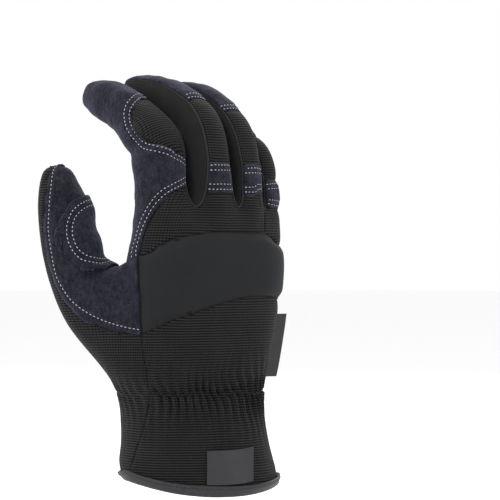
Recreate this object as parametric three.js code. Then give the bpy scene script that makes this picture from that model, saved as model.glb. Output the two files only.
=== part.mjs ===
// A mechanic's work glove for the right hand, filled out as it is when worn.
// The back of the hand faces -Y, the thumb points to -X and the fingers point up and curl away.
// Each sewn panel is its own closed solid. All sizes are in millimetres.
import * as THREE from 'three';

// Driving sizes of the sleeve: the hem, the elastic wrist and the hand.
const cuff = { width: 88, depth: 60 };
const wrist = { width: 80, depth: 55 };
const palm = { width: 101, depth: 42 };
const knuckleHeight = 140;
const hemDip = 6.5;
const hemLift = 4.5;

// Driving sizes of the fingers and the thumb.
const fingerGap = 1.8;
const index = { length: 106, width: 23.6, depth: 24.5 };
const middle = { length: 112, width: 22.6, depth: 23.5 };
const ring = { length: 110, width: 21.4, depth: 22.5 };
const little = { length: 88, width: 19.6, depth: 20.5 };
const thumb = { length: 92, width: 29, depth: 25 };

// Driving sizes of the cloth: each wall, and the room left between sewn pieces.
const knitWall = 1.3;
const suedeWall = 1.7;
const neopreneWall = 2.1;
const patchWall = 1.2;
const labelWall = 0.7;
const seamGap = 0.3;

// Driving sizes of the trims.
const binding = { height: 5.4, wall: 0.9 };
const label = { width: 24, height: 18, across: 0.05, clearance: 0.4 };
const tag = { length: 34, width: 7.5, wall: 0.8, up: 0.4 };
const gather = { depth: 0.8, reach: 10, up: 0.357 };
const knuckleStripWidth = 14.5;
// The pleats of the gathered wrist. pitch: in points of the sleeve's rings; from, to: rings of it.
const pleats = { pitch: 0.5, from: 3, to: 5.4 };

const DEGREE = Math.PI / 180;
const UP = new THREE.Vector3(0, 0, 1);

// The sleeve's cross-sections from the hem up. Each row follows one of the sizes above.
// up: share of knuckleHeight; across, back: the middle, shares of palm.width; wide, deep: shares of
// that size; turn: how far the back of the hand faces to +X, in degrees; cup: how hollow the palm is;
// hem: how much of the hem's dip and lift the row takes.
const sleeveRows = [
  { of: cuff, up: 0.0, across: 0.0, back: 0.0, wide: 1.0, deep: 1.0, turn: 12, cup: 0, hem: 1 },
  { of: cuff, up: 0.095, across: -0.012, back: 0.0, wide: 0.93, deep: 0.96, turn: 13, cup: 0, hem: 0.5 },
  { of: cuff, up: 0.2, across: -0.026, back: 0.0, wide: 0.885, deep: 0.92, turn: 15, cup: 0, hem: 0.1 },
  { of: wrist, up: 0.29, across: -0.036, back: 0.0, wide: 0.965, deep: 1.0, turn: 17, cup: 0, hem: 0 },
  { of: wrist, up: 0.357, across: -0.05, back: 0.0, wide: 0.97, deep: 0.98, turn: 20, cup: 0, hem: 0 },
  { of: wrist, up: 0.425, across: -0.062, back: 0.0, wide: 1.11, deep: 0.98, turn: 24, cup: 0, hem: 0 },
  { of: palm, up: 0.52, across: -0.035, back: 0.01, wide: 0.91, deep: 1.26, turn: 29, cup: 0.05, hem: 0 },
  { of: palm, up: 0.62, across: -0.01, back: 0.02, wide: 0.95, deep: 1.2, turn: 33, cup: 0.12, hem: 0 },
  { of: palm, up: 0.72, across: 0.01, back: 0.03, wide: 0.98, deep: 1.1, turn: 36, cup: 0.2, hem: 0 },
  { of: palm, up: 0.82, across: 0.033, back: 0.043, wide: 1.0, deep: 1.0, turn: 39, cup: 0.22, hem: 0 },
  { of: palm, up: 0.93, across: 0.05, back: 0.053, wide: 0.98, deep: 0.94, turn: 42, cup: 0.18, hem: 0 },
];
// The thumb leaves the sleeve through the rows between these two.
const thumbHole = { from: 5, to: 9 };

// The fingers, from the index to the little one. rise: the knuckle's height as a share of
// knuckleHeight; turn: where the back of the finger faces; spread: the angle of the knuckle row
// towards the next finger; bends: the lean of each of its three bones from upright, in degrees;
// joints: where they meet, as shares of the length.
const fingers = [
  { name: 'index', size: index, rise: 1, turn: 46, spread: 22, bends: [4, 46, 72], joints: [0.38, 0.66] },
  { name: 'middle', size: middle, rise: 1.03, turn: 50, spread: 43, bends: [5, 58, 82], joints: [0.43, 0.7] },
  { name: 'ring', size: ring, rise: 1, turn: 52, spread: 62, bends: [5, 50, 85], joints: [0.43, 0.72] },
  { name: 'little', size: little, rise: 0.99, turn: 58, spread: 0, bends: [5, 56, 80], joints: [0.43, 0.72] },
];
// The index finger's knuckle, as shares of palm.width from the middle of the cuff.
const indexKnuckle = { across: -0.195, back: -0.14 };
// A finger's rings. at: share of its length; slant: how much further the palm side is, in shares of
// its depth; wide, deep: shares of its size.
const fingerRings = [
  { at: 0.215, slant: 0.42, wide: 1.0, deep: 1.04 },
  { at: 0.33, slant: 0.2, wide: 1.01, deep: 1.04 },
  { at: 0.44, slant: 0, wide: 1.02, deep: 1.04 },
  { at: 0.56, slant: 0, wide: 1.01, deep: 1.01 },
  { at: 0.71, slant: 0, wide: 1.0, deep: 0.97 },
  { at: 0.87, slant: 0, wide: 0.93, deep: 0.87 },
  { at: 0.985, slant: 0, wide: 0.56, deep: 0.46 },
];
// The middle of the thumb's root, as shares of palm.width and of knuckleHeight.
const thumbRoot = { across: -0.4, back: -0.02, up: 0.615 };
// The thumb's rings. out, back, up: the middle of each from the root, shares of thumb.length; wide,
// deep: shares of the thumb's other sizes; tilt: how far the ring is turned up from level, in degrees.
const thumbRings = [
  { out: 0.145, back: -0.05, up: 0.09, wide: 1.6, deep: 1.54, tilt: 72 },
  { out: 0.235, back: -0.07, up: 0.19, wide: 1.36, deep: 1.32, tilt: 59 },
  { out: 0.292, back: -0.08, up: 0.34, wide: 1.14, deep: 1.13, tilt: 40 },
  { out: 0.323, back: -0.065, up: 0.5, wide: 1.08, deep: 1.06, tilt: 21 },
  { out: 0.353, back: -0.045, up: 0.665, wide: 0.95, deep: 0.98, tilt: 6 },
  { out: 0.379, back: -0.03, up: 0.825, wide: 0.74, deep: 0.82, tilt: 0 },
  { out: 0.39, back: -0.02, up: 0.925, wide: 0.4, deep: 0.46, tilt: 0 },
];

// Creases and bulges of the worn suede. on: the tube; u, v: the middle, in ring points and rings;
// half: their reach; depth: outwards, in shares of suedeWall.
const folds = [
  { on: 'index', u: 7, v: 1.5, half: [1.4, 0.5], depth: 0.7 },
  { on: 'index', u: 7, v: 2.5, half: [1.4, 0.5], depth: -0.7 },
  { on: 'index', u: 6.5, v: 3.5, half: [1.4, 0.5], depth: 0.6 },
  { on: 'index', u: 6, v: 4.5, half: [1.4, 0.5], depth: -0.6 },
  { on: 'middle', u: 5, v: 3, half: [1.5, 0.5], depth: -0.7 },
  { on: 'ring', u: 5, v: 3, half: [1.5, 0.5], depth: -0.7 },
  { on: 'little', u: 5, v: 3, half: [1.5, 0.5], depth: -0.7 },
  { on: 'thumb', u: 5, v: 3, half: [1.6, 0.5], depth: 0.8 },
  { on: 'thumb', u: 5, v: 4, half: [1.6, 0.5], depth: -0.7 },
  { on: 'thumb', u: 5, v: 5, half: [1.6, 0.5], depth: 0.6 },
  { on: 'sleeve', u: 14, v: 8.5, half: [3.0, 0.6], depth: -0.9 },
  { on: 'sleeve', u: 17, v: 7.5, half: [0.8, 1.8], depth: -0.9 },
];

// Seams seen from the front. In each row, across is a share of palm.width and up of knuckleHeight.
const radialSeam = [
  { up: -0.05, across: -0.39 }, { up: 0.09, across: -0.345 }, { up: 0.162, across: -0.308 },
  { up: 0.236, across: -0.268 }, { up: 0.31, across: -0.238 }, { up: 0.355, across: -0.229 },
  { up: 0.4, across: -0.25 }, { up: 0.485, across: -0.276 }, { up: 0.59, across: -0.289 },
  { up: 0.8, across: -0.302 }, { up: 0.9, across: -0.31 },
];
const neopreneTop = [
  { across: -0.4, up: 0.862 }, { across: -0.308, up: 0.884 }, { across: -0.23, up: 0.907 },
  { across: -0.134, up: 0.934 }, { across: -0.038, up: 0.956 }, { across: 0.058, up: 0.966 },
  { across: 0.174, up: 0.971 }, { across: 0.278, up: 0.969 }, { across: 0.375, up: 0.956 },
  { across: 0.449, up: 0.899 }, { across: 0.5, up: 0.86 },
];
const neopreneBottom = [
  { across: -0.4, up: 0.55 }, { across: -0.279, up: 0.591 }, { across: -0.173, up: 0.619 },
  { across: -0.096, up: 0.643 }, { across: 0, up: 0.664 }, { across: 0.097, up: 0.688 },
  { across: 0.193, up: 0.709 }, { across: 0.28, up: 0.719 }, { across: 0.338, up: 0.72 },
  { across: 0.406, up: 0.709 }, { across: 0.5, up: 0.69 },
];
const knuckleSeam = [
  { across: -0.36, up: 0.8 }, { across: -0.308, up: 0.881 }, { across: -0.29, up: 0.965 },
  { across: -0.262, up: 1.012 }, { across: -0.213, up: 1.069 }, { across: -0.144, up: 1.115 },
  { across: -0.04, up: 1.155 },
];
const thumbHem = [
  { across: -0.85, up: 1.0 }, { across: -0.8, up: 0.81 }, { across: -0.771, up: 0.771 },
  { across: -0.723, up: 0.695 }, { across: -0.646, up: 0.64 }, { across: -0.559, up: 0.591 },
  { across: -0.462, up: 0.579 }, { across: -0.25, up: 0.579 },
];
const thumbNailSeam = [
  { up: 0.7, across: -0.73 }, { up: 0.771, across: -0.763 }, { up: 0.853, across: -0.797 },
  { up: 0.921, across: -0.813 }, { up: 1.007, across: -0.816 }, { up: 1.086, across: -0.806 },
  { up: 1.164, across: -0.789 }, { up: 1.25, across: -0.76 },
];
// The other seams follow the cage: u counts its points round a tube, and v its rings along it.
const saddleSeam = [
  { v: 3.5, u: 16.2 }, { v: 5, u: 16.7 }, { v: 6.5, u: 16.85 }, { v: 8, u: 17.1 }, { v: 8.8, u: 17.7 },
  { v: 9.2, u: 18.6 }, { v: 9.5, u: 19.6 }, { v: 9.7, u: 20.6 }, { v: 9.9, u: 21.6 },
];
const palmSeam = [
  { v: 0, u: 15.4 }, { v: 2, u: 15.6 }, { v: 4, u: 16.0 }, { v: 5.2, u: 16.5 }, { v: 6, u: 16.9 },
  { v: 6.7, u: 18.2 }, { v: 7, u: 19 },
];
const thumbBackSeam = [
  { v: 0, u: 8.4 }, { v: 2, u: 8.7 }, { v: 5, u: 9.1 }, { v: 7, u: 9.6 }, { v: 9, u: 10.4 },
];
const indexOval = { from: 1.95, to: 4.6, reach: 2.75, fall: 3 };
const tipCapFrom = 3.75;
// The suede patch round the crotch of the thumb: an oval seen from the front.
const thumbPatch = { across: -0.55, up: 0.955, half: { across: 0.21, up: 0.145 } };
// Lower edges of the strips across the knuckles, as shares of knuckleHeight.
const stripFoot = { middle: 1.125, ring: 1.12, little: 1.06 };

// Points of one closed ring of the sleeve: nine across the back, one at each side, nine in the palm.
const BACK_POINTS = 9;
const ULNAR_SIDE = 9;
const RADIAL_SIDE = 19;
const SLEEVE_POINTS = 20;
// Points of one closed ring of a finger, from its back corner on the thumb's side. The back ends at
// BACK_CORNER, the palm side lies from PALM_CORNER to INNER_PALM, and the sides are between them.
const BACK_CORNER = 2;
const OUTER_SIDE = 3;
const PALM_CORNER = 4;
const INNER_PALM = 6;
const INNER_SIDE = 7;
const FINGER_POINTS = 8;
// How square a finger's section is: where its corners lie, as a share of its half sizes.
const fingerCorner = 0.8;
// The rounding of a cage pulls its surface inwards, so that the cage is made larger by this much.
const cageSwell = 1.075;
const thumbSwell = 1.035;

const outwards = (turn) => new THREE.Vector3(Math.sin(turn * DEGREE), -Math.cos(turn * DEGREE), 0);
const sideways = (turn) => new THREE.Vector3(Math.cos(turn * DEGREE), Math.sin(turn * DEGREE), 0);
const smooth = (x) => {
  const t = Math.min(1, Math.max(0, x));
  return t * t * (3 - 2 * t);
};
const mix = (a, b, share) => a + (b - a) * share;
const between = (a, b) => a.clone().add(b).multiplyScalar(0.5);

// The value of column y at x in a table sorted by column x, along a smooth curve.
function along(table, xName, yName, x) {
  let i = table.findIndex((row) => row[xName] > x);
  if (i < 0) i = table.length - 1;
  i = Math.max(1, i);
  const rowAt = (k) => table[Math.min(table.length - 1, Math.max(0, k))];
  const [before, from, to, after] = [rowAt(i - 2), rowAt(i - 1), rowAt(i), rowAt(i + 1)];
  const span = to[xName] - from[xName];
  const t = (x - from[xName]) / span;
  if (t < 0 || t > 1) return mix(from[yName], to[yName], t);
  const slope = (p, q) => (p === q ? 0 : (q[yName] - p[yName]) / (q[xName] - p[xName])) * span;
  const [m0, m1] = [slope(before, to), slope(from, after)];
  const [t2, t3] = [t * t, t * t * t];
  return (2 * t3 - 3 * t2 + 1) * from[yName] + (t3 - 2 * t2 + t) * m0
    + (3 * t2 - 2 * t3) * to[yName] + (t3 - t2) * m1;
}

// One ring of the sleeve, with a flat back, round sides and a palm that is a little hollow.
function sleeveRing(row) {
  const flatShare = 0.83;
  const cornerDrop = 0.42;
  const middleOf = new THREE.Vector3(row.across * palm.width, row.back * palm.width, row.up * knuckleHeight);
  const [side, out] = [sideways(row.turn), outwards(row.turn)];
  const halfWidth = (row.wide * row.of.width * cageSwell) / 2;
  const halfDepth = (row.deep * row.of.depth * cageSwell) / 2;
  const place = (q, d) => middleOf.clone()
    .addScaledVector(side, q * halfWidth)
    .addScaledVector(out, d * halfDepth);
  const points = [];
  for (let i = 0; i < BACK_POINTS; i++) {
    const q = -1 + (2 * i) / (BACK_POINTS - 1);
    const height = 1 - cornerDrop * q * q * Math.abs(q);
    points[i] = place(q * flatShare, height).addScaledVector(UP, -hemDip * row.hem * (1 - q * q));
    points[SLEEVE_POINTS - 2 - i] = place(q * flatShare, -(height - row.cup * (1 - q * q)));
    const lift = hemLift * row.hem * 0.5 * (1 - q);
    points[i].addScaledVector(UP, lift);
    points[SLEEVE_POINTS - 2 - i].addScaledVector(UP, lift);
  }
  points[ULNAR_SIDE] = place(1, 0);
  points[RADIAL_SIDE] = place(-1, 0).addScaledVector(UP, hemLift * row.hem);
  return points;
}

// Where each knuckle stands: the row is laid out from the widths of the fingers and their gap.
function placeKnuckles() {
  const at = new THREE.Vector3(indexKnuckle.across * palm.width, indexKnuckle.back * palm.width, 0);
  fingers.forEach((finger, i) => {
    finger.knuckle = at.clone().setZ(finger.rise * knuckleHeight);
    const next = fingers[i + 1];
    if (!next) return;
    const pitch = (finger.size.width + next.size.width) / 2 + fingerGap;
    const meanTurn = (finger.turn + next.turn) / 2;
    // The row isn't square to the fingers, so that the step along it is longer than the pitch.
    const step = pitch / Math.cos((finger.spread - meanTurn) * DEGREE);
    at.addScaledVector(sideways(finger.spread), step);
  });
}

// The middle line of a finger: its point and directions at a share of its length.
function fingerFrame(finger, share) {
  const bendReach = 0.09;
  const leanAt = (s) => finger.bends[0]
    + finger.joints.reduce((sum, joint, k) => sum
      + (finger.bends[k + 1] - finger.bends[k]) * smooth((s - joint + bendReach) / (2 * bendReach)), 0);
  const out = outwards(finger.turn);
  const headingAt = (s) => UP.clone().multiplyScalar(Math.cos(leanAt(s) * DEGREE))
    .addScaledVector(out, -Math.sin(leanAt(s) * DEGREE));
  const steps = 60;
  const point = finger.knuckle.clone();
  for (let k = 0; k < steps; k++) {
    point.addScaledVector(headingAt((share * (k + 0.5)) / steps), (share * finger.size.length) / steps);
  }
  const heading = headingAt(share);
  const side = sideways(finger.turn);
  return { point, heading, side, out: heading.clone().cross(side).negate() };
}

// One ring of a finger: its eight points start at the back corner on the thumb's side.
function fingerRing(finger, row) {
  const { point, heading, side, out } = fingerFrame(finger, row.at);
  const c = fingerCorner;
  const halfWidth = (row.wide * finger.size.width * cageSwell) / 2;
  const halfDepth = (row.deep * finger.size.depth * cageSwell) / 2;
  const square = [[-c, c], [0, 1], [c, c], [1, 0], [c, -c], [0, -1], [-c, -c], [-1, 0]];
  return square.map(([x, y]) => point.clone().addScaledVector(side, x * halfWidth)
    .addScaledVector(out, y * halfDepth)
    .addScaledVector(heading, -y * row.slant * finger.size.depth * 0.5));
}

// The sleeve's last ring, where the fingers start, a little above the knuckles. Its crotches lie
// lower on the back of the hand than in the palm. Heights here are shares of knuckleHeight.
function webRing() {
  const fingerShare = 0.08;
  const palmSideRise = 0.03;
  const crotchRise = { back: -0.03, middle: 0.01, palm: 0.04 };
  const deepShare = 0.52 * cageSwell;
  const crotchDepth = 0.86;
  const points = [];
  const raise = (share) => UP.clone().multiplyScalar(share * knuckleHeight);
  const frames = fingers.map((finger) => {
    const { point } = fingerFrame(finger, fingerShare);
    return { point, size: finger.size, out: outwards(finger.turn), side: sideways(finger.turn) };
  });
  frames.forEach((here, i) => {
    const { point, out, size } = here;
    points[2 * i + 1] = point.clone().addScaledVector(out, size.depth * deepShare);
    points[SLEEVE_POINTS - 3 - 2 * i] = point.clone().addScaledVector(out, -size.depth * deepShare)
      .add(raise(palmSideRise));
    const next = frames[i + 1];
    if (!next) return;
    const nearEdge = point.clone().addScaledVector(here.side, size.width / 2);
    const farEdge = next.point.clone().addScaledVector(next.side, -next.size.width / 2);
    const crotch = between(nearEdge, farEdge).setZ((point.z + next.point.z) / 2);
    const normal = out.clone().add(next.out).normalize();
    const depth = ((size.depth + next.size.depth) / 2) * deepShare * crotchDepth;
    points[2 * i + 2] = crotch.clone().addScaledVector(normal, depth).add(raise(crotchRise.back));
    points[SLEEVE_POINTS + i] = crotch.clone().add(raise(crotchRise.middle));
    points[SLEEVE_POINTS - 4 - 2 * i] = crotch.clone().addScaledVector(normal, -depth)
      .add(raise(crotchRise.palm));
  });
  // The outer ends of the row, on the sides of the first and the last finger.
  const edgeOf = ({ point, side, out, size }, across, face) => point.clone()
    .addScaledVector(side, (across * size.width * cageSwell) / 2)
    .addScaledVector(out, (face * size.depth * cageSwell) / 2);
  const [first, last] = [frames[0], frames[frames.length - 1]];
  points[0] = edgeOf(first, -fingerCorner, fingerCorner);
  points[SLEEVE_POINTS - 2] = edgeOf(first, -fingerCorner, -fingerCorner).add(raise(palmSideRise));
  points[RADIAL_SIDE] = edgeOf(first, -1, 0);
  points[BACK_POINTS - 1] = edgeOf(last, fingerCorner, fingerCorner);
  points[ULNAR_SIDE + 1] = edgeOf(last, fingerCorner, -fingerCorner).add(raise(palmSideRise));
  points[ULNAR_SIDE] = edgeOf(last, 1, 0);
  return points;
}

// One ring of the thumb, starting at its front corner on the nail's side: as many points across the
// front and the back as the hole in the sleeve has rows, and one at each end.
function thumbRing(row) {
  const middleOf = new THREE.Vector3(
    thumbRoot.across * palm.width - row.out * thumb.length,
    thumbRoot.back * palm.width + row.back * thumb.length,
    thumbRoot.up * knuckleHeight + row.up * thumb.length,
  );
  const toWeb = new THREE.Vector3(Math.cos(row.tilt * DEGREE), 0, Math.sin(row.tilt * DEGREE));
  const halfWidth = (row.wide * thumb.width * thumbSwell) / 2;
  const halfDepth = (row.deep * thumb.depth * thumbSwell) / 2;
  const place = (x, y) => middleOf.clone()
    .addScaledVector(toWeb, x * halfWidth)
    .add(new THREE.Vector3(0, -y * halfDepth, 0));
  const count = thumbHole.to - thumbHole.from + 1;
  const angles = Array.from({ length: count }, (_, i) => Math.PI * (1 - (i + 1) / (count + 1)));
  const fullness = 0.85;
  const front = angles.map((angle) => place(Math.cos(angle), Math.sin(angle) ** fullness));
  const back = angles.map((angle) => place(Math.cos(angle), -(Math.sin(angle) ** fullness))).reverse();
  return [...front, place(1, 0), ...back, place(-1, 0)];
}

// A mesh is a list of points and a list of faces. A face holds the numbers of its points, the tube
// that it belongs to, and each corner's place on that tube: u round it and v along it.
const cage = { points: [], faces: [] };
const addPoints = (list) => list.map((p) => cage.points.push(p) - 1);

// The faces between two rings of one tube. numbers: the rings' points in order round the tube.
function bridge(tube, lower, upper, v, keep = () => true) {
  const count = lower.length;
  for (let i = 0; i < count; i++) {
    if (!keep(i)) continue;
    const j = (i + 1) % count;
    cage.faces.push({
      tube,
      ids: [lower[i], lower[j], upper[j], upper[i]],
      uv: [[i, v], [i + 1, v], [i + 1, v + 1], [i, v + 1]],
    });
  }
}
function closeEnd(tube, ringIds, v) {
  cage.faces.push({ tube, ids: [...ringIds], uv: ringIds.map((_, i) => [i, v]), cap: v + 1 });
}

function buildCage() {
  placeKnuckles();
  const rings = sleeveRows.map((row) => addPoints(sleeveRing(row)));
  const web = addPoints(webRing());
  rings.push(web.slice(0, SLEEVE_POINTS));
  const atRadialSide = (i) => i === RADIAL_SIDE || i === RADIAL_SIDE - 1;
  const inHole = (v, i) => v >= thumbHole.from && v < thumbHole.to && atRadialSide(i);
  for (let v = 0; v + 1 < rings.length; v++) {
    bridge('sleeve', rings[v], rings[v + 1], v, (i) => !inHole(v, i));
  }
  const top = rings[rings.length - 1];
  const crotches = [top[RADIAL_SIDE], ...web.slice(SLEEVE_POINTS), top[ULNAR_SIDE]];
  fingers.forEach((finger, f) => {
    const palmSide = (i) => top[SLEEVE_POINTS - 2 - i];
    let lower = [top[2 * f], top[2 * f + 1], top[2 * f + 2], crotches[f + 1],
      palmSide(2 * f + 2), palmSide(2 * f + 1), palmSide(2 * f), crotches[f]];
    fingerRings.forEach((row, v) => {
      const upper = addPoints(fingerRing(finger, row));
      bridge(finger.name, lower, upper, v);
      lower = upper;
    });
    closeEnd(finger.name, lower, fingerRings.length);
  });
  const holeRows = [];
  for (let v = thumbHole.from; v <= thumbHole.to; v++) holeRows.push(v);
  let lower = [...holeRows.map((v) => rings[v][0]), rings[thumbHole.to][RADIAL_SIDE],
    ...holeRows.map((v) => rings[v][RADIAL_SIDE - 1]).reverse(), rings[thumbHole.from][RADIAL_SIDE]];
  thumbRings.forEach((row, v) => {
    const upper = addPoints(thumbRing(row));
    bridge('thumb', lower, upper, v);
    lower = upper;
  });
  closeEnd('thumb', lower, thumbRings.length);
  return cage;
}

const edgeKey = (a, b) => (a < b ? `${a} ${b}` : `${b} ${a}`);

// One pass of Catmull and Clark's rounding.
function rounded(mesh) {
  const points = [];
  const facePoint = mesh.faces.map((face) => {
    const sum = new THREE.Vector3();
    face.ids.forEach((id) => sum.add(mesh.points[id]));
    return points.push(sum.divideScalar(face.ids.length)) - 1;
  });
  const edges = new Map();
  mesh.faces.forEach((face, f) => face.ids.forEach((a, k) => {
    const b = face.ids[(k + 1) % face.ids.length];
    const key = edgeKey(a, b);
    if (!edges.has(key)) edges.set(key, { a, b, faces: [] });
    edges.get(key).faces.push(f);
  }));
  const around = mesh.points.map(() => ({ faces: new Set(), mids: [], rim: [] }));
  edges.forEach((edge) => {
    const mid = between(mesh.points[edge.a], mesh.points[edge.b]);
    const inner = edge.faces.length === 2;
    const at = mid.clone();
    if (inner) {
      const [one, other] = edge.faces.map((f) => points[facePoint[f]]);
      at.add(between(one, other)).multiplyScalar(0.5);
    }
    edge.id = points.push(at) - 1;
    [edge.a, edge.b].forEach((id) => {
      around[id].mids.push(mid);
      if (!inner) around[id].rim.push(mid);
      edge.faces.forEach((f) => around[id].faces.add(f));
    });
  });
  const moved = mesh.points.map((point, id) => {
    const { faces, mids, rim } = around[id];
    if (!mids.length) return -1;
    const at = point.clone();
    if (rim.length) at.multiplyScalar(0.5).add(between(rim[0], rim[1]).multiplyScalar(0.5));
    else {
      const n = mids.length;
      const faceMean = new THREE.Vector3();
      faces.forEach((f) => faceMean.addScaledVector(points[facePoint[f]], 1 / n));
      const midMean = new THREE.Vector3();
      mids.forEach((mid) => midMean.addScaledVector(mid, 1 / n));
      at.multiplyScalar(n - 3).add(faceMean).addScaledVector(midMean, 2).divideScalar(n);
    }
    return points.push(at) - 1;
  });
  const faces = [];
  mesh.faces.forEach((face, f) => {
    const n = face.ids.length;
    const mid = (p, q) => [(p[0] + q[0]) / 2, (p[1] + q[1]) / 2];
    // The corner after the last one is a whole turn further round.
    const turned = (k) => (k < n ? face.uv[k] : face.cap ? [n, face.uv[0][1]] : face.uv[0]);
    const centre = mid(mid(face.uv[0], face.uv[1]), mid(face.uv[2], face.uv[3]));
    face.ids.forEach((id, k) => {
      const next = edges.get(edgeKey(id, face.ids[(k + 1) % n])).id;
      const last = edges.get(edgeKey(id, face.ids[(k + n - 1) % n])).id;
      const here = face.uv[k];
      const before = face.cap ? [here[0] - 1, here[1]] : face.uv[(k + n - 1) % n];
      faces.push({
        tube: face.tube,
        ids: [moved[id], next, facePoint[f], last],
        uv: [here, mid(here, turned(k + 1)), face.cap ? [here[0], face.cap] : centre, mid(here, before)],
      });
    });
  });
  return { points, faces };
}

// The outward direction at each point.
function normalsOf(mesh) {
  const normals = mesh.points.map(() => new THREE.Vector3());
  mesh.faces.forEach(({ ids }) => {
    const area = new THREE.Vector3();
    const start = mesh.points[ids[0]];
    for (let k = 1; k + 1 < ids.length; k++) {
      const [p, q] = [mesh.points[ids[k]].clone().sub(start), mesh.points[ids[k + 1]].clone().sub(start)];
      area.add(p.cross(q));
    }
    ids.forEach((id) => normals[id].add(area));
  });
  normals.forEach((n) => n.normalize());
  return normals;
}

// Relaxes the points where the cloth turns sharply, as in the crotches of the fingers.
function softenCrotches(mesh) {
  const passes = 4;
  const sharpTurn = 0.72;
  for (let pass = 0; pass < passes; pass++) {
    const normals = normalsOf(mesh);
    const around = mesh.points.map(() => ({ sum: new THREE.Vector3(), count: 0, turn: 1 }));
    mesh.faces.forEach(({ ids }) => {
      const [a, b, c, d] = ids.map((id) => mesh.points[id]);
      const facing = c.clone().sub(a).cross(d.clone().sub(b)).normalize();
      ids.forEach((id, k) => {
        const next = ids[(k + 1) % ids.length];
        around[id].sum.add(mesh.points[next]);
        around[id].count += 1;
        around[id].turn = Math.min(around[id].turn, facing.dot(normals[id]));
      });
    });
    around.forEach(({ sum, count, turn }, id) => {
      if (count && turn < sharpTurn) mesh.points[id].lerp(sum.divideScalar(count), 0.5);
    });
  }
}

// Moves the points in and out by the table of folds.
function foldCloth(mesh) {
  const normals = normalsOf(mesh);
  const shift = mesh.points.map(() => 0);
  mesh.faces.forEach((face) => face.ids.forEach((id, k) => {
    const [u, v] = face.uv[k];
    let sum = 0;
    folds.filter((fold) => fold.on === face.tube).forEach((fold) => {
      const [du, dv] = [(u - fold.u) / fold.half[0], (v - fold.v) / fold.half[1]];
      sum += fold.depth * suedeWall * Math.exp(-2 * (du * du + dv * dv));
    });
    if (Math.abs(sum) > Math.abs(shift[id])) shift[id] = sum;
  }));
  mesh.points.forEach((point, id) => point.addScaledVector(normals[id], shift[id]));
}

// Splits the chosen faces where the field is zero. Neighbours get the new points on their edges.
// A point close to the line moves onto it, so that no sliver is left, unless it is held.
const held = new Set();
function cut(mesh, field, chosen = () => true) {
  const near = 0.28;
  const nearLength = 1;
  const values = new Map();
  const picked = mesh.faces.map((face) => chosen(face));
  mesh.faces.forEach((face, f) => {
    if (!picked[f]) return;
    face.ids.forEach((id, k) => {
      if (!values.has(id)) values.set(id, field(mesh.points[id], face.uv[k]));
    });
  });
  const eachEdge = (visit) => mesh.faces.forEach((face, f) => {
    if (!picked[f]) return;
    face.ids.forEach((a, k) => visit(a, face.ids[(k + 1) % face.ids.length]));
  });
  const nearest = new Map();
  eachEdge((a, b) => {
    const [va, vb] = [values.get(a), values.get(b)];
    if (va * vb >= 0) return;
    const length = mesh.points[a].distanceTo(mesh.points[b]);
    const share = va / (va - vb);
    [[a, b, share], [b, a, 1 - share]].forEach(([from, to, t]) => {
      if (t >= near && t * length >= nearLength) return;
      if (!(nearest.get(from)?.t < t)) nearest.set(from, { to, t });
    });
  });
  nearest.forEach(({ to, t }, from) => {
    if (!held.has(from)) mesh.points[from] = mesh.points[from].clone().lerp(mesh.points[to], t);
    values.set(from, 0);
  });
  const added = new Map();
  eachEdge((a, b) => {
    const key = edgeKey(a, b);
    const [va, vb] = [values.get(a), values.get(b)];
    if (added.has(key) || va * vb >= 0) return;
    const share = va / (va - vb);
    const id = mesh.points.push(mesh.points[a].clone().lerp(mesh.points[b], share)) - 1;
    values.set(id, 0);
    held.add(id);
    added.set(key, { id, a, share });
  });
  nearest.forEach((_, from) => held.add(from));
  const faces = [];
  mesh.faces.forEach((face, f) => {
    const [ids, uv] = [[], []];
    face.ids.forEach((a, k) => {
      const b = face.ids[(k + 1) % face.ids.length];
      const [p, q] = [face.uv[k], face.uv[(k + 1) % face.ids.length]];
      ids.push(a);
      uv.push(p);
      const extra = added.get(edgeKey(a, b));
      if (!extra) return;
      const t = extra.a === a ? extra.share : 1 - extra.share;
      ids.push(extra.id);
      uv.push([mix(p[0], q[0], t), mix(p[1], q[1], t)]);
    });
    const whole = { ...face, ids, uv };
    const zeros = picked[f] ? ids.map((id, k) => (values.get(id) === 0 ? k : -1)).filter((k) => k >= 0) : [];
    const signs = new Set(ids.map((id) => Math.sign(values.get(id) ?? 0)));
    if (zeros.length < 2 || !signs.has(1) || !signs.has(-1)) {
      faces.push(whole);
      return;
    }
    const [i, j] = [zeros[0], zeros[zeros.length - 1]];
    const part = (from, to) => {
      const made = { ...face, ids: [], uv: [] };
      for (let k = from; ; k = (k + 1) % ids.length) {
        made.ids.push(ids[k]);
        made.uv.push(uv[k]);
        if (k === to) return made;
      }
    };
    faces.push(part(i, j), part(j, i));
  });
  mesh.faces = faces.filter((face) => face.ids.length > 2);
}

const frontSeam = (table) => (p) => p.z / knuckleHeight - along(table, 'across', 'up', p.x / palm.width);
const aboveNeoprene = frontSeam(neopreneTop);
const belowNeoprene = frontSeam(neopreneBottom);
const aboveKnuckleSeam = frontSeam(knuckleSeam);
const aboveThumbHem = frontSeam(thumbHem);
const uprightSeam = (table) => (p) => p.x / palm.width - along(table, 'up', 'across', p.z / knuckleHeight);
const pastRadialSeam = uprightSeam(radialSeam);
const pastNailSeam = uprightSeam(thumbNailSeam);
const tubeSeam = (table) => (p, [u, v]) => u - along(table, 'v', 'u', v);
// On the back of the hand the saddle's seam goes on past the end of the ring.
const pastSaddle = (p, [u, v]) => tubeSeam(saddleSeam)(p, [u < ULNAR_SIDE ? u + SLEEVE_POINTS : u, v]);
const pastPalmSeam = tubeSeam(palmSeam);
const pastBackSeam = tubeSeam(thumbBackSeam);
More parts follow.
